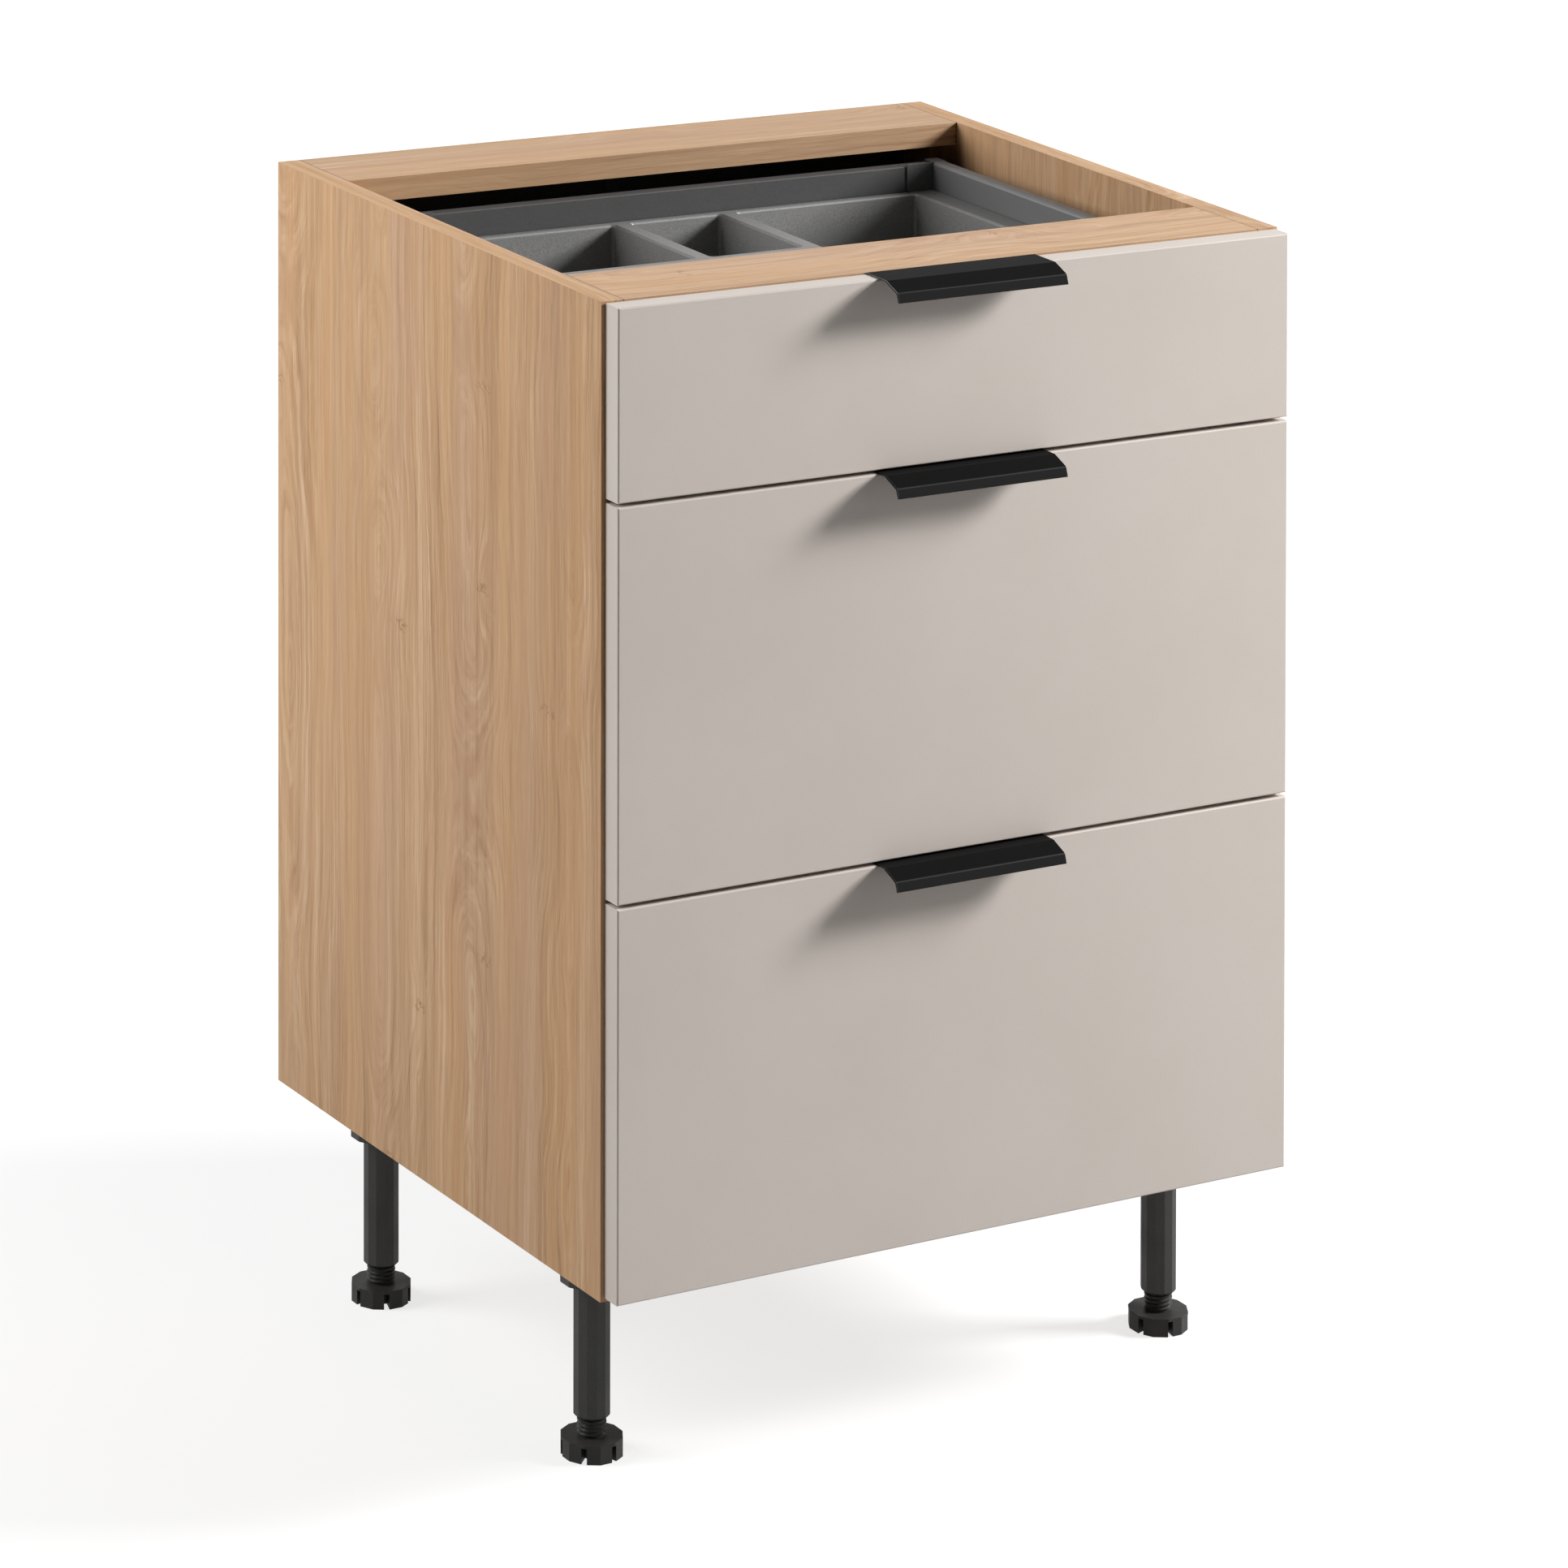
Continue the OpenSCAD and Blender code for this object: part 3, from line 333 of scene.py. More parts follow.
def zinc():
    """Galvanised runner steel: bright, with a faint spangle and drawn lines along the runner."""
    s = Shader("galvanised_steel")
    x, y, z = s.place()
    flakes = s.node("TexVoronoi", {"Vector": s.vector(x, y, z), "Scale": 240.0}).outputs["Color"]
    spangle = s.node("SeparateColor", {0: flakes}).outputs[0]
    drawn = s.noise(s.vector(s.times(x, 900.0), s.times(y, 12.0), s.times(z, 900.0)), 1.0, 3.0, 0.6)
    body = s.mix(spangle, colour(186, 188, 190), colour(202, 203, 204))
    return s.finish(
        Base_Color=body,
        Metallic=1.0,
        Roughness=s.add(s.over(spangle, 0.0, 1.0, 0.34, 0.44, smooth=False), s.times(drawn, 0.14)),
        Normal=s.bump(drawn, 0.08, 0.00005),
    )


def plated():
    """Zinc-plated screws, cams and bolts, with a fine grain and faint stains."""
    s = Shader("plated_steel")
    point = s.vector(*s.place())
    marks = s.noise(point, 2600.0, 3.0, 0.6)
    stain = s.noise(point, 220.0, 2.0, 0.5)
    body = s.mix(s.over(stain, 0.35, 0.7), colour(196, 196, 194), colour(170, 171, 172))
    return s.finish(
        Base_Color=body,
        Metallic=1.0,
        Roughness=s.over(marks, 0.2, 0.8, 0.2, 0.42, smooth=False),
        Normal=s.bump(marks, 0.15, 0.00005),
    )


def black_metal():
    """Matt black coating on the handles, with a fine texture along the strip. Its colour holds painted light
    and shade by which way a face points, with a painted highlight on the bend down to the lip."""
    s = Shader("black_coated_metal")
    x, y, z = s.place()
    grain = s.noise(s.vector(s.times(x, 260.0), s.times(y, 1500.0), s.times(z, 1500.0)), 1.0, 3.0, 0.6)
    fine = s.noise(s.vector(x, y, z), 1500.0, 2.0, 0.5)
    ahead = s.times(s.facing()[1], -1.0)
    # Painted light and shade by how far a face points forwards: darker on the slope, lighter on the flange and
    # lip, and a painted highlight on the bend above the lip
    shade = s.ramp(ahead, [(0.1, colour(28, 27, 27)), (0.34, colour(19, 19, 19)), (0.55, colour(22, 22, 22)),
                           (0.8, colour(66, 66, 66)), (0.93, colour(36, 36, 36))])
    body = s.mix(s.times(grain, 0.25), shade, colour(34, 34, 34))
    return s.finish(
        Base_Color=body,
        Roughness=s.over(fine, 0.3, 0.7, 0.45, 0.6, smooth=False),
        Specular_IOR_Level=0.01,
        Normal=s.bump(fine, 0.2, 0.00006),
    )


def moulded(name, dark, light, shine, scale=1100.0, depth=0.0001, low=0.42, high=0.58):
    """Moulded plastic: a spark-eroded grain of that scale and depth, with clouds of low to high roughness."""
    s = Shader(name)
    point = s.vector(*s.place())
    grain = s.noise(point, scale, 3.0, 0.6)
    cloud = s.noise(point, 26.0, 3.0, 0.6)
    body = s.mix(s.over(grain, 0.3, 0.7), dark, light)
    body = s.mix(s.over(cloud, 0.35, 0.75, 0.0, 0.3), body, dark)
    return s.finish(
        Base_Color=body,
        Roughness=s.add(s.over(cloud, 0.3, 0.7, low, high, smooth=False), s.times(grain, 0.05)),
        Specular_IOR_Level=shine,
        Normal=s.bump(grain, 0.5, depth),
    )


def beech():
    """Pale beech for the dowels, with short flecks."""
    s = Shader("beech_wood")
    x, y, z = s.place()
    flecks = s.noise(s.vector(s.times(x, 240.0), s.times(y, 1500.0), s.times(z, 1500.0)), 1.0, 3.0, 0.6)
    body = s.ramp(flecks, [(0.3, colour(190, 150, 108)), (0.7, colour(222, 188, 146))])
    return s.finish(Base_Color=body, Roughness=0.6, Normal=s.bump(flecks, 0.3, 0.0002))


LOOKS = {
    "oak_board": wood("oak_decor_across", "X", 0.0),
    "greige_front": greige(),
    "black_hardboard": hardboard(),
    "grey_board": melamine(),
    "grey_metal": powder_coat(),
    "runner_steel": zinc(),
    "fastener_steel": plated(),
    "black_handle": black_metal(),
    "black_plastic": moulded("black_leg_plastic", colour(31, 30, 29), colour(45, 44, 42), shine=0.38),
    "grey_plastic": moulded("grey_bracket_plastic", colour(72, 72, 72), colour(86, 86, 86),
                            shine=0.3, scale=900.0, depth=0.00008, low=0.4, high=0.55),
    "tray_plastic": moulded("tray_grained_plastic", colour(108, 108, 107), colour(134, 134, 133),
                            shine=0.5, scale=1000.0, depth=0.00022, low=0.30, high=0.42),
    "beech": beech(),
}
FOOT_LOOK = moulded("black_foot_plastic", colour(36, 35, 34), colour(50, 49, 48), shine=0.22)
# The edges of the handles' strip are shinier than its coated faces
CUT_EDGE = moulded("black_cut_edge", colour(34, 34, 34), colour(56, 56, 56),
                   shine=0.9, scale=1500.0, depth=0.00004, low=0.22, high=0.32)
# Boards with a grain, edges or ends of their own
BOARD_LOOKS = {
    "side_left": wood("oak_decor_left", "Z", 0.0, centre=-0.4775, edging=True),
    "side_right": wood("oak_decor_right", "Z", 3.0, edging=True),
    "rail_front": wood("oak_decor_front_rail", "X", 5.0, ends=True, front=0.9, shine=0.45),
    "rail_back": wood("oak_decor_back_rail", "X", 8.0, ends=True, face=0.92, front=0.78, shine=0.35),
}
slot_of = {name: node.material_slots[0].material.name for name, node in nodes.items()}

# Softened edges: bevels as modifiers, so the solids' own meshes stay as they are
EDGE_DEGREES = 25
FLAT_DEGREES = 0.5
WELD_DISTANCE = 1e-6


def crisp_normals(name, degrees):
    """A modifier group that shades smoothly over smaller angles and keeps edges sharp over larger ones."""
    group = bpy.data.node_groups.new(name, "GeometryNodeTree")
    group.interface.new_socket("Geometry", in_out="INPUT", socket_type="NodeSocketGeometry")
    group.interface.new_socket("Geometry", in_out="OUTPUT", socket_type="NodeSocketGeometry")
    start = group.nodes.new("NodeGroupInput")
    end = group.nodes.new("NodeGroupOutput")
    angle = group.nodes.new("GeometryNodeInputMeshEdgeAngle")
    sharp = group.nodes.new("FunctionNodeCompare")
    sharp.operation = "GREATER_THAN"
    sharp.inputs[1].default_value = math.radians(degrees)
    normal = group.nodes.new("GeometryNodeSetMeshNormal")
    normal.mode = "SHARPNESS"
    normal.inputs["Face Sharpness"].default_value = False
    group.links.new(angle.outputs["Unsigned Angle"], sharp.inputs[0])
    group.links.new(sharp.outputs[0], normal.inputs["Edge Sharpness"])
    group.links.new(start.outputs[0], normal.inputs["Mesh"])
    group.links.new(normal.outputs[0], end.inputs[0])
    return group


CRISP = crisp_normals("crisp_normals", 50)
FACETS = crisp_normals("flat_facets", 24)


def bevelled(thing, width, segments=2, degrees=EDGE_DEGREES):
    """Bevels the edges that turn by more degrees by width mm."""
    bevel = thing.modifiers.new("bevel", "BEVEL")
    bevel.limit_method = "ANGLE"
    bevel.angle_limit = math.radians(degrees)
    bevel.width = width * MM
    bevel.segments = segments


def shaded(thing, group=CRISP):
    """Ends the modifiers of a piece with normals that are even on its faces and keep its edges sharp."""
    thing.modifiers.new("crisp", "NODES").node_group = group
    thing.modifiers.new("even", "WEIGHTED_NORMAL").keep_sharp = True


def soften(thing, width, segments=2, dissolve=True):
    """Rounds the edges by width mm. With dissolve, the triangles of a flat face are joined first."""
    thing.modifiers.new("weld", "WELD").merge_threshold = WELD_DISTANCE
    if dissolve:
        flat = thing.modifiers.new("flat", "DECIMATE")
        flat.decimate_type = "DISSOLVE"
        flat.angle_limit = math.radians(FLAT_DEGREES)
    bevelled(thing, width, segments)
    shaded(thing)


# The width in mm of the bevel on each node that has one
SOFTENED = {
    "side_left": 0.35, "side_right": 0.35, "bottom_panel": 0.35, "rail_front": 0.35, "rail_back": 0.35,
    "back_panel_left": 0.15, "back_panel_right": 0.15, "back_joint_strip": 0.15,
    "leg_sockets": 0.5, "dowels": 0.5, "cam_housings": 0.15,
    "leg_tube_front_left": 0.25, "leg_tube_front_right": 0.25,
    "leg_tube_back_left": 0.25, "leg_tube_back_right": 0.25,
}
for drawer in DRAWERS:
    SOFTENED["drawer_back_" + drawer] = 0.7
    SOFTENED["drawer_base_" + drawer] = 0.3
    SOFTENED["corner_brackets_" + drawer] = 0.4
    SOFTENED["front_brackets_" + drawer] = 0.3
    SOFTENED["cabinet_runners_" + drawer] = 0.25
    SOFTENED["sliding_runners_" + drawer] = 0.2

for name, node in nodes.items():
    node.material_slots[0].material = BOARD_LOOKS.get(name, LOOKS[slot_of[name]])
    if name in SOFTENED:
        soften(node, SOFTENED[name])

# Pieces of their own, in the place of solids


def put(name, bm, node, bevel=0.0, segments=2, face_up=False):
    """Shows bm, in mm in the shared frame, in the place of a node, with that node's body and finish. The
    normals of a closed shape point outwards, and with face_up those of an open skin point upwards."""
    bmesh.ops.recalc_face_normals(bm, faces=bm.faces)
    if face_up and sum(face.normal.z * face.calc_area() for face in bm.faces) < 0:
        bmesh.ops.reverse_faces(bm, faces=bm.faces)
    mesh = bpy.data.meshes.new(name)
    bm.to_mesh(mesh)
    bm.free()
    mesh.transform(Matrix.Scale(MM, 4))
    thing = bpy.data.objects.new(name, mesh)
    scene.collection.objects.link(thing)
    mesh.materials.append(LOOKS[slot_of[node]])
    if bevel:
        soften(thing, bevel, segments, dissolve=False)
    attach(thing, nodes[node]["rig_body"])
    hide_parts(node)
    return thing


def unit(angle):
    """The direction at angle from x."""
    return Vector((math.cos(angle), math.sin(angle)))


def rounded_corner(a, b, c, r, steps=8):
    """Points of an arc of radius r that rounds the corner b between a and c."""
    to_a, to_c = (a - b).normalized(), (c - b).normalized()
    half = to_a.angle(to_c) / 2
    start = b + to_a * r / math.tan(half)
    centre = b + (to_a + to_c).normalized() * r / math.sin(half)
    arm = start - centre
    turn = math.pi - 2 * half
    side = -1 if to_a.x * to_c.y - to_a.y * to_c.x > 0 else 1
    points = []
    for i in range(steps + 1):
        along = unit(side * turn * i / steps)
        points.append(centre + Vector((arm.x * along.x - arm.y * along.y, arm.x * along.y + arm.y * along.x)))
    return points


def rounded_outline(corners):
    """A closed outline from (x, y, radius) corners."""
    points = []
    for i, (x, y, r) in enumerate(corners):
        here = Vector((x, y))
        if r == 0:
            points.append(here)
            continue
        before, after = (Vector(corners[(i + k) % len(corners)][:2]) for k in (-1, 1))
        points += rounded_corner(before, here, after, r)
    return points


def extruded(bm, outline, place, start, end):
    """A prism of outline, where place(point, t) gives the 3-D point at t."""
    rings = [[bm.verts.new(place(p, t)) for p in outline] for t in (start, end)]
    for ring in rings:
        bm.faces.new(ring)
    band(bm, *rings)


def band(bm, upper, lower):
    """Faces between two closed rows of as many vertices."""
    for i in range(len(upper)):
        j = (i + 1) % len(upper)
        bm.faces.new((upper[i], upper[j], lower[j], lower[i]))


# Handles: one bent strip with a tab behind the front, finely rounded. Each corner is given as its distance
# forwards from the strip's back edge, its height over the strip's top, and its radius
HANDLE_CORNERS = (
    (0.0, -1.0, 0), (0.0, 0.0, 0.25), (27.0, 0.0, 2.5), (41.6, -5.8, 2.5), (44.0, -13.0, 0.5),
    (42.482, -13.506, 0.5), (40.3, -6.98, 1.0), (26.68, -1.6, 1.5), (25.9, -1.0, 0), (3.4, -1.0, 0.4),
    (3.4, -20.0, 0.5), (1.9, -20.0, 0.5), (1.9, -1.0, 0),
)
HANDLE_BEVEL = 0.45


def handle(drawer):
    """A drawer's handle, as long as its node."""
    node = "handle_" + drawer
    (left, _, _), (right, back, top) = node_box(node)
    bm = bmesh.new()
    extruded(bm, rounded_outline(HANDLE_CORNERS), lambda p, x: (x, back - p.x, top + p.y), left, right)
    grip = put("grip_" + drawer, bm, node, HANDLE_BEVEL)
    grip.data.materials.append(CUT_EDGE)
    grip.modifiers["bevel"].material = 1


for drawer in DRAWERS:
    handle(drawer)

# Drawer sides: folded sheet with rounded corners, a shelf inside and two lips that make the runner's track.
# Widths start at the side's inner face and heights at its underside
SIDE_W = 13.0
SHEET_T = 1.0
# The flange under the drawer's base, inwards from the inner face
FLANGE_W = 10.0
FLANGE_R = 1.0
SIDE_TOP_R = 2.2
SHELF_Z = 13.7
LIP_Z = 10.5
# Where the lips end, on both sides of the opening between them
TRACK = (5.3, 7.7)
# How far the shelf and lips reach into the walls
BURIED = 0.2
SHEET_BEVEL = 0.2


def strip_outline(path, thickness):
    """The outline of a sheet bent along path, which has (x, y, radius) corners on the sheet's middle."""
    points = [Vector(p[:2]) for p in path]
    middle = []
    for i, (point, (_, _, r)) in enumerate(zip(points, path)):
        ahead = (points[min(i + 1, len(points) - 1)] - points[min(i, len(points) - 2)]).normalized()
        if i in (0, len(points) - 1):
            middle.append((point, ahead))
            continue
        behind = (point - points[i - 1]).normalized()
        arc = rounded_corner(points[i - 1], point, points[i + 1], r)
        for k, p in enumerate(arc):
            middle.append((p, behind.slerp(ahead, k / (len(arc) - 1))))
    normals = [(p, Vector((-d.y, d.x)) * thickness / 2) for p, d in middle]
    return [p + n for p, n in normals] + [p - n for p, n in reversed(normals)]


def rectangle(x0, x1, y0, height):
    return [Vector(point) for point in ((x0, y0), (x1, y0), (x1, y0 + height), (x0, y0 + height))]


def drawer_side(side, sign, drawer):
    """The left or right side of a drawer. sign is the way outwards along x."""
    node = "side_profile_" + side + "_" + drawer
    (left, front, under), (right, back, top) = node_box(node)
    inner_x = max(-left, right) - SIDE_W
    middle = SHEET_T / 2
    crown = top - under - middle
    inside, outside = SHEET_T - BURIED, SIDE_W - SHEET_T + BURIED
    outlines = [
        strip_outline([(-FLANGE_W, middle, 0), (middle, middle, FLANGE_R), (middle, crown, SIDE_TOP_R),
                       (SIDE_W - middle, crown, SIDE_TOP_R), (SIDE_W - middle, 0.0, 0)], SHEET_T),
        rectangle(inside, outside, SHELF_Z, SHEET_T),
        rectangle(inside, TRACK[0], LIP_Z, SHEET_T),
        rectangle(TRACK[1], outside, LIP_Z, SHEET_T),
    ]
    bm = bmesh.new()
    for outline in outlines:
        extruded(bm, outline, lambda p, y: (sign * (inner_x + p.x), y, under + p.y), front, back)
    put("sheet_side_" + side + "_" + drawer, bm, node, SHEET_BEVEL, segments=1)


for drawer in DRAWERS:
    drawer_side("left", -1, drawer)
    drawer_side("right", 1, drawer)

# Cutlery tray: one moulded skin with drafted walls, rounded rims and filleted floors
TRAY_DEPTH = 43.0
TRAY_SKIN_T = 1.8
# Rim left between the tray's edge and its compartments, at the sides and at the front and back
TRAY_RIM_SIDE = 22.0
TRAY_RIM_END = 8.4
# Bars between compartments, the depth of the back row, and the widths of the middle and right columns
TRAY_BAR = 15.0
TRAY_BACK_ROW = 120.0
TRAY_MIDDLE_W = 83.0
TRAY_RIGHT_W = 171.0
TRAY_RIM_R = 2.2
TRAY_DRAFT = 1.4
TRAY_FILLET = 4.0
# Radii of the upright corners: of a compartment where its wall starts and at least, and of the whole tray
TRAY_CORNER_R = 3.4
TRAY_LEAST_R = 1.0
TRAY_EDGE_R = 4.5


def compartments(low, high):
    """The compartments of a tray with that box, as left, right, front and back edges."""
    left, right = low[0] + TRAY_RIM_SIDE, high[0] - TRAY_RIM_SIDE
    front, back = low[1] + TRAY_RIM_END, high[1] - TRAY_RIM_END
    middle_end = right - TRAY_RIGHT_W - TRAY_BAR
    middle = middle_end - TRAY_MIDDLE_W
    left_end = middle - TRAY_BAR
    narrow = (left_end - left - TRAY_BAR) / 2
    back_row = back - TRAY_BACK_ROW
    front_end = back_row - TRAY_BAR
    return (
        (left, left_end, back_row, back), (middle, middle_end, back_row, back),
        (middle_end + TRAY_BAR, right, front, back), (left, left + narrow, front, front_end),
        (left_end - narrow, left_end, front, front_end), (middle, middle_end, front, front_end),
    )


def ring(bm, box, grow, r, z, steps=8):
    """A rounded rectangle of vertices, box grown by grow, with corners of radius r."""
    x0, x1, y0, y1 = box[0] - grow, box[1] + grow, box[2] - grow, box[3] + grow
    verts = []
    for k, (x, y) in enumerate(((x1 - r, y1 - r), (x0 + r, y1 - r), (x0 + r, y0 + r), (x1 - r, y0 + r))):
        for i in range(steps + 1):
            t = math.radians(90 * (k + i / steps))
            verts.append(bm.verts.new((x + r * math.cos(t), y + r * math.sin(t), z)))
    return verts


def tray():
    """The tray's upper skin, which a modifier thickens downwards."""
    low, high = node_box("cutlery_tray")
    top, floor = high[2], high[2] - TRAY_DEPTH
    steps = [math.radians(a) for a in range(0, 91, 15)]
    # Insets and heights of the rings of vertices, down over the rim and down to the floor
    rim = [(-TRAY_RIM_R * (1 - math.sin(t)), top - TRAY_RIM_R * (1 - math.cos(t))) for t in steps]
    fillet = [(TRAY_DRAFT + TRAY_FILLET * (1 - math.cos(t)), floor + TRAY_FILLET * (1 - math.sin(t)))
              for t in steps]
    bm = bmesh.new()
    loops = []
    for box in compartments(low, high):
        rings = []
        for inset, z in rim + fillet:
            rings.append(ring(bm, box, -inset, max(TRAY_CORNER_R - inset, TRAY_LEAST_R), z))
        for upper, lower in zip(rings, rings[1:]):
            band(bm, upper, lower)
        bm.faces.new(rings[-1])
        loops.append(rings[0])
    outer = (low[0], high[0], low[1], high[1])
    edge = [ring(bm, outer, inset, TRAY_EDGE_R + inset, z) for inset, z in rim]
    for upper, lower in zip(edge, edge[1:]):
        band(bm, upper, lower)
    loops.append(edge[0])
    rims = [bm.edges.get(pair) for loop in loops for pair in zip(loop, loop[1:] + loop[:1])]
    bmesh.ops.triangle_fill(bm, use_beauty=True, use_dissolve=True, edges=rims, normal=(0, 0, 1))
    thing = put("tray_moulding", bm, "cutlery_tray", face_up=True)
    skin = thing.modifiers.new("skin", "SOLIDIFY")
    skin.thickness = TRAY_SKIN_T * MM
    skin.offset = -1.0
    shaded(thing)


tray()

# Feet: a twelve-sided disc with slots in its rim, and a stem with a real helical thread
FOOT_SIDES = 12
FOOT_SIDE_DEGREES = 360 / FOOT_SIDES
FOOT_R = 23.5
FOOT_H = 14.0
FOOT_BEVEL = 0.6
FOOT_BEVEL_DEGREES = 60
SLOTS = 6
SLOT_HALF = 2.05
# Where the slots end, from the disc's axis and from the floor
SLOT_INNER = 11.5
SLOT_TOP = 11.8
STEM_R = 10.9
STEM_SIDES = 40
# How far the stem starts inside the disc
STEM_BURIED = 0.5
THREAD_DEPTH = 1.3
THREAD_PITCH = 3.2
RINGS_PER_TURN = 8
# The height over which the thread runs out at each end of the stem
THREAD_FADE = 1.5
# Half the width of a crest at its foot, and the width of one flank, as shares of the pitch
CREST_HALF = 0.34
FLANK = 0.22
# The turn of each foot in the photograph, in degrees
FOOT_TURNS = {"front_left": 45, "front_right": 19, "back_left": 12, "back_right": 31}


def rim_point(angle, aside):
    """Where a line in the direction angle, moved aside, leaves the twelve-sided rim."""
    d = unit(angle)
    start = Vector((-d.y, d.x)) * aside
    flat = FOOT_R * math.cos(math.radians(FOOT_SIDE_DEGREES / 2))
    reach = []
    for k in range(FOOT_SIDES):
        n = unit(math.radians(FOOT_SIDE_DEGREES * k))
        if d.dot(n) > 0:
            reach.append((flat - start.dot(n)) / d.dot(n))
    return start + d * min(reach)


def slotted_rim(turn):
    """The corners of the disc and the edges of its slots, once around from where a slot opens. Each is given
    as its angle, its kind, its point on the rim and the inner corner of its slot."""
    rim = []
    for k in range(FOOT_SIDES):
        angle = math.radians(FOOT_SIDE_DEGREES * (k + 0.5))
        rim.append((angle % math.tau, "corner", unit(angle) * FOOT_R, None))
    for i in range(SLOTS):
        angle = math.radians(turn + 360 / SLOTS * i)
        d = unit(angle)
        for kind, aside in (("open", -SLOT_HALF), ("close", SLOT_HALF)):
            p = rim_point(angle, aside)
            inner = d * SLOT_INNER + Vector((-d.y, d.x)) * aside
            rim.append((math.atan2(p.y, p.x) % math.tau, kind, p, inner))
    rim.sort(key=lambda entry: entry[0])
    first = next(i for i, entry in enumerate(rim) if entry[1] == "open")
    return rim[first:] + rim[:first]


def foot_disc(bm, x, y, turn):
    """The disc on the floor. Its slots are open below and end under its top."""
    rim = slotted_rim(turn)

    def level(z):
        return [bm.verts.new((x + p.x, y + p.y, z)) for _, _, p, _ in rim]

    low, mid, top = level(0.0), level(SLOT_TOP), level(FOOT_H)
    band(bm, mid, top)
    bm.faces.new(top)
    under, over, ceiling, in_slot = [], [], [], False
    for i, (_, kind, _, inner) in enumerate(rim):
        if kind == "corner" and in_slot:
            ceiling.append(mid[i])
            bm.verts.remove(low[i])
            continue
        if kind == "corner":
            under.append(low[i])
            over.append(mid[i])
            continue
        inner_low, inner_mid = (bm.verts.new((x + inner.x, y + inner.y, z)) for z in (0.0, SLOT_TOP))
        in_slot = kind == "open"
        if in_slot:
            ceiling = [inner_mid, mid[i]]
            under += [low[i], inner_low]
            over += [mid[i], inner_mid]
        else:
            bm.faces.new(ceiling + [mid[i], inner_mid])
            under += [inner_low, low[i]]
            over += [inner_mid, mid[i]]
    band(bm, under, over)
    bm.faces.new(under)


def foot_stem(bm, x, y, top):
    """The stem with its helical thread, from just inside the disc up to top."""
    count = int((top - FOOT_H) / (THREAD_PITCH / RINGS_PER_TURN))
    rings = []
    for k in range(count + 1):
        z = FOOT_H - STEM_BURIED + k * (top - FOOT_H + STEM_BURIED) / count
        fade = min(1.0, max(0.0, (z - FOOT_H) / THREAD_FADE), (top - z) / THREAD_FADE)
        row = []
        for i in range(STEM_SIDES):
            phase = (z / THREAD_PITCH - i / STEM_SIDES) % 1.0
            crest = min(1.0, max(0.0, (CREST_HALF - abs(phase - 0.5)) / FLANK))
            r = STEM_R - THREAD_DEPTH * (1 - crest * fade)
            t = math.tau * i / STEM_SIDES
            row.append(bm.verts.new((x + r * math.cos(t), y + r * math.sin(t), z)))
        rings.append(row)
    for upper, lower in zip(rings, rings[1:]):
        band(bm, upper, lower)
    bm.faces.new(rings[0])
    bm.faces.new(rings[-1])


def foot(place, turn):
    """A foot on the axis of its node."""
    node = "foot_" + place
    low, high = node_box(node)
    x, y = (low[0] + high[0]) / 2, (low[1] + high[1]) / 2
    bm = bmesh.new()
    foot_disc(bm, x, y, turn)
    foot_stem(bm, x, y, high[2])
    thing = put("threaded_foot_" + place, bm, node)
    thing.data.materials[0] = FOOT_LOOK
    bevelled(thing, FOOT_BEVEL, degrees=FOOT_BEVEL_DEGREES)
    shaded(thing, FACETS)


for place, turn in FOOT_TURNS.items():
    foot(place, turn)

# Camera, after a view camera: its picture plane is upright, which keeps the upright edges of the cabinet
# parallel as they are in the photograph, while it looks down on the cabinet


def leaning_camera():
    """A camera at eye whose picture has its own axes: across, up and back, which aren't at right angles."""
    eye = Vector((-2.60728, -4.06792, 1.95349))
    across = Vector((0.844988, -0.533394, 0.038551)).normalized()
    up = Vector((0.012937, 0.023777, 1.000311)).normalized()
    back = Vector((-0.513870, -0.802667, 0.302777)).normalized()
    data = bpy.data.cameras.new("camera")
    data.sensor_width = 36.0
    data.lens = 151.43
    data.clip_start = 0.1
    data.clip_end = 200.0
    camera = bpy.data.objects.new("camera", data)
    tripod = bpy.data.objects.new("tripod", None)
    for thing in (camera, tripod):
        scene.collection.objects.link(thing)
    plain = Matrix.Translation(eye) @ back.to_track_quat("Z", "Y").to_matrix().to_4x4()
    leaning = Matrix.Translation(eye) @ Matrix((across, up, back)).transposed().to_4x4()
    camera.parent = tripod
    camera.matrix_parent_inverse = leaning @ plain.inverted()
    camera.matrix_basis = plain
    scene.camera = camera


leaning_camera()

# Lights, world and floor

# The point that the lamps face
AIM = Vector((0.0, 0.0, 0.45))
# The strength of the white that fills the shadows
FILL = 0.8
FLOOR_HALF = 40.0


def area(name, towards, distance, size, power):
    """A square lamp, size wide, that faces the cabinet, seen from it in the direction towards."""
    light = bpy.data.lights.new(name, "AREA")
    light.size = size
    light.energy = power
    lamp = bpy.data.objects.new(name, light)
    scene.collection.objects.link(lamp)
    direction = Vector(towards).normalized()
    lamp.location = AIM + direction * distance
    lamp.rotation_mode = "QUATERNION"
    lamp.rotation_quaternion = direction.to_track_quat("Z", "Y")


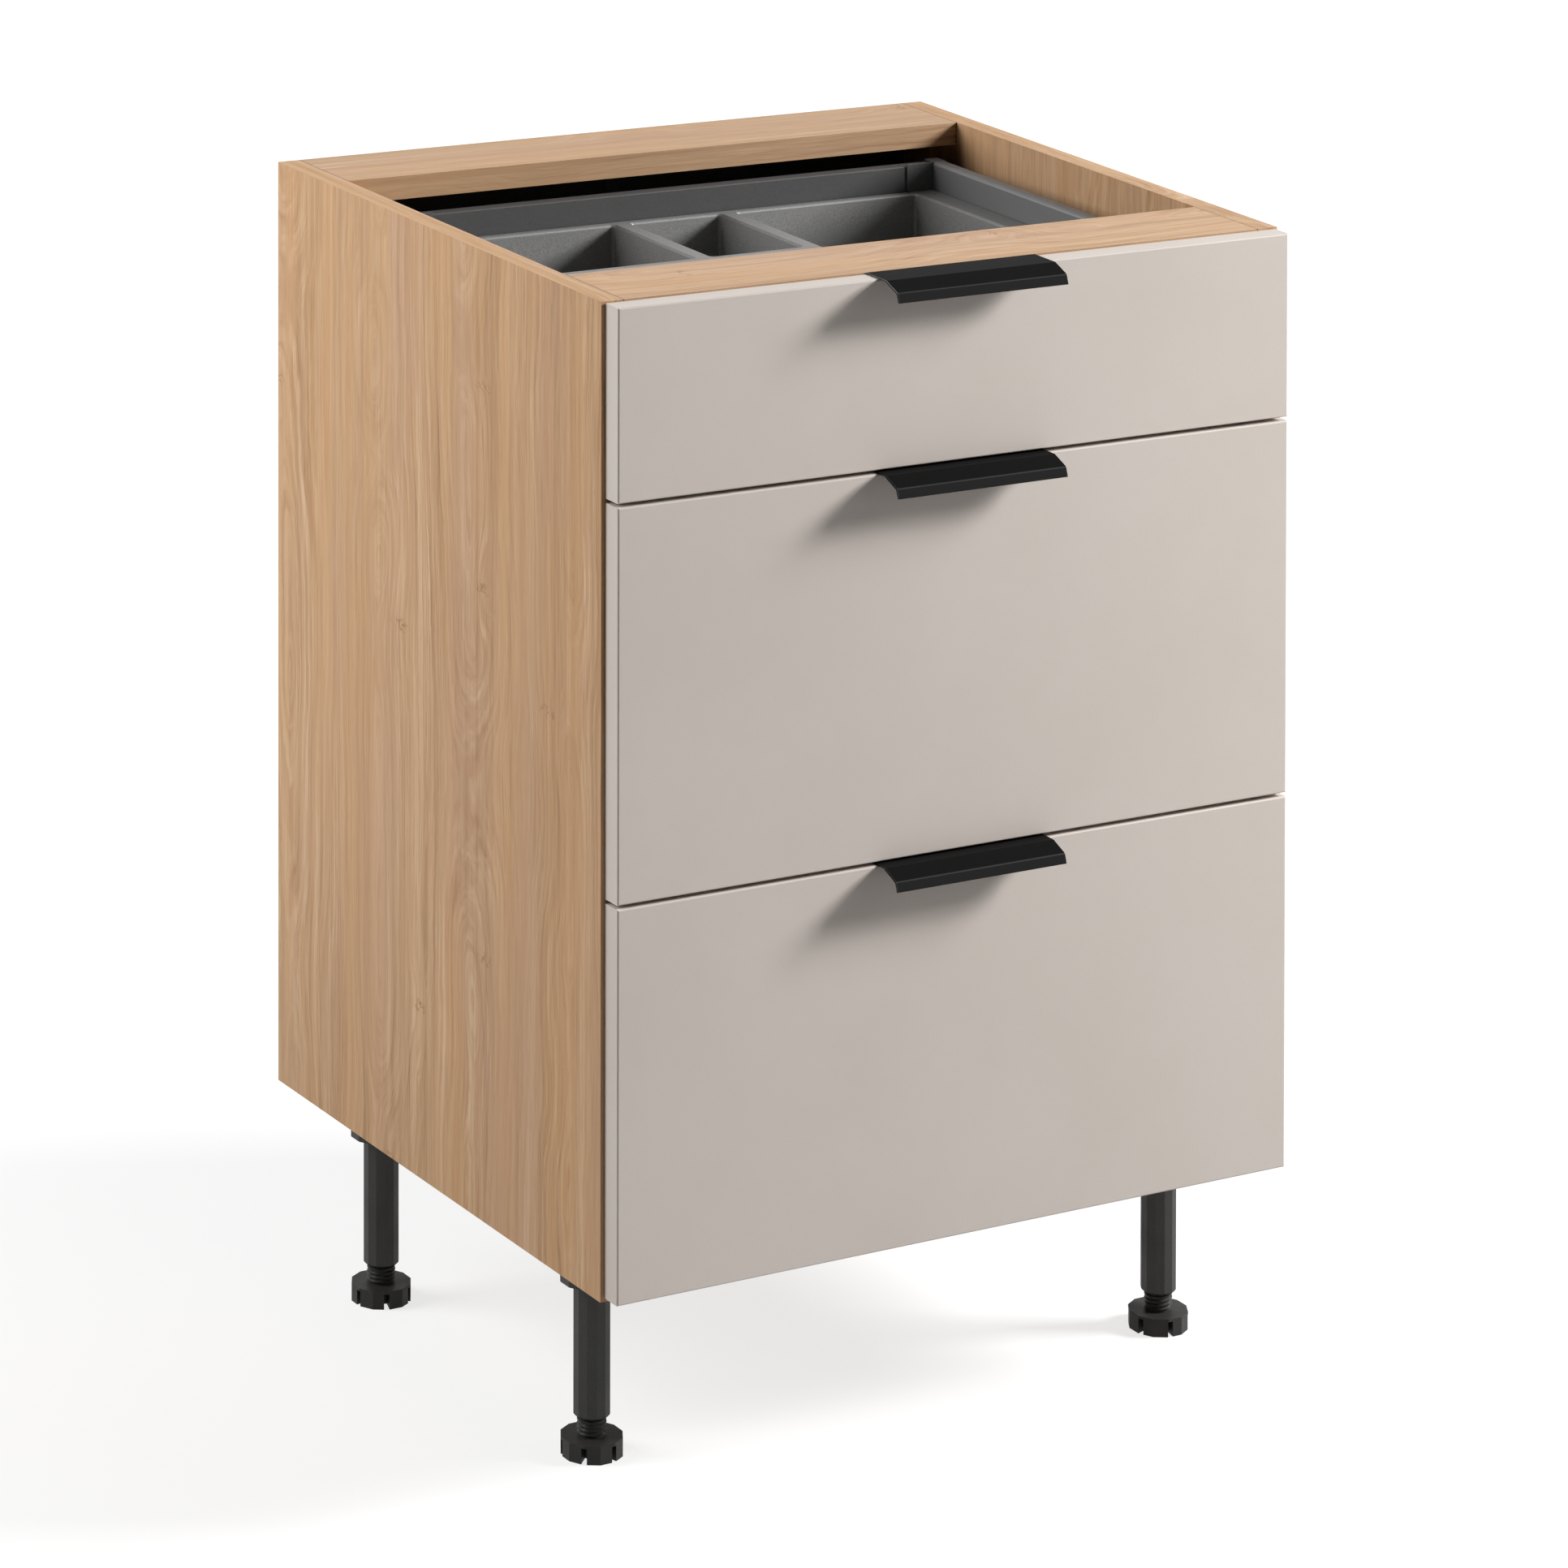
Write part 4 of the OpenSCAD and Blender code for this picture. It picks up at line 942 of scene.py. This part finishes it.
area("key_lamp", towards=(0.81, -0.37, 0.46), distance=4.2, size=1.05, power=305.0)
area("side_lamp", towards=(-0.78, 0.42, 0.47), distance=2.6, size=1.4, power=60.0)


def seen_mask(s):
    """1 for what the camera sees directly, or in a reflection or through glass."""
    path = s.node("LightPath").outputs
    mask = s.math("MAXIMUM", path["Is Camera Ray"], path["Is Glossy Ray"])
    return s.math("MAXIMUM", mask, path["Is Transmission Ray"])


def make_world():
    """White for the camera and for reflections. Otherwise it only lights softly, from low on the right."""
    world = bpy.data.worlds.new("white_room")
    scene.world = world
    world.use_nodes = True
    s = Shader("white_room", world.node_tree)
    x, _, z = s.node("SeparateXYZ", {0: s.node("TexCoord").outputs["Generated"]}).outputs[:]
    fill = s.times(s.over(z, 0.5, 0.8, 1.0, 0.0), s.over(x, 0.3, 0.7, 0.0, FILL))
    strength = s.math("MAXIMUM", seen_mask(s), fill)
    background = s.node("Background", {"Color": grey(1.0), "Strength": strength})
    s.tree.links.new(background.outputs[0], s.node("OutputWorld").inputs[0])


make_world()


def white_floor():
    """A floor that lights the cabinet as a middle grey, and glows to white for the camera. It glows less round
    the cabinet, where the shadow shows."""
    s = Shader("white_floor")
    x, y, z = s.place()
    away = s.math("SQRT", s.add(s.times(x, x), s.times(y, y)))
    seen = seen_mask(s)
    grain = s.noise(s.vector(x, y, z), 3.0, 3.0, 0.5)
    return s.finish(
        Base_Color=s.mix(seen, grey(0.38), s.mix(grain, grey(0.24), grey(0.27))),
        Roughness=0.9,
        Specular_IOR_Level=0.0,
        Emission_Color=grey(1.0),
        Emission_Strength=s.times(seen, s.over(away, 0.5, 2.0, 0.76, 1.0)),
    )


def make_floor():
    corners = [(sx * FLOOR_HALF, sy * FLOOR_HALF, 0.0) for sx, sy in ((-1, -1), (1, -1), (1, 1), (-1, 1))]
    mesh = bpy.data.meshes.new("floor")
    mesh.from_pydata(corners, [], [(0, 1, 2, 3)])
    floor = bpy.data.objects.new("floor", mesh)
    scene.collection.objects.link(floor)
    mesh.materials.append(white_floor())


make_floor()
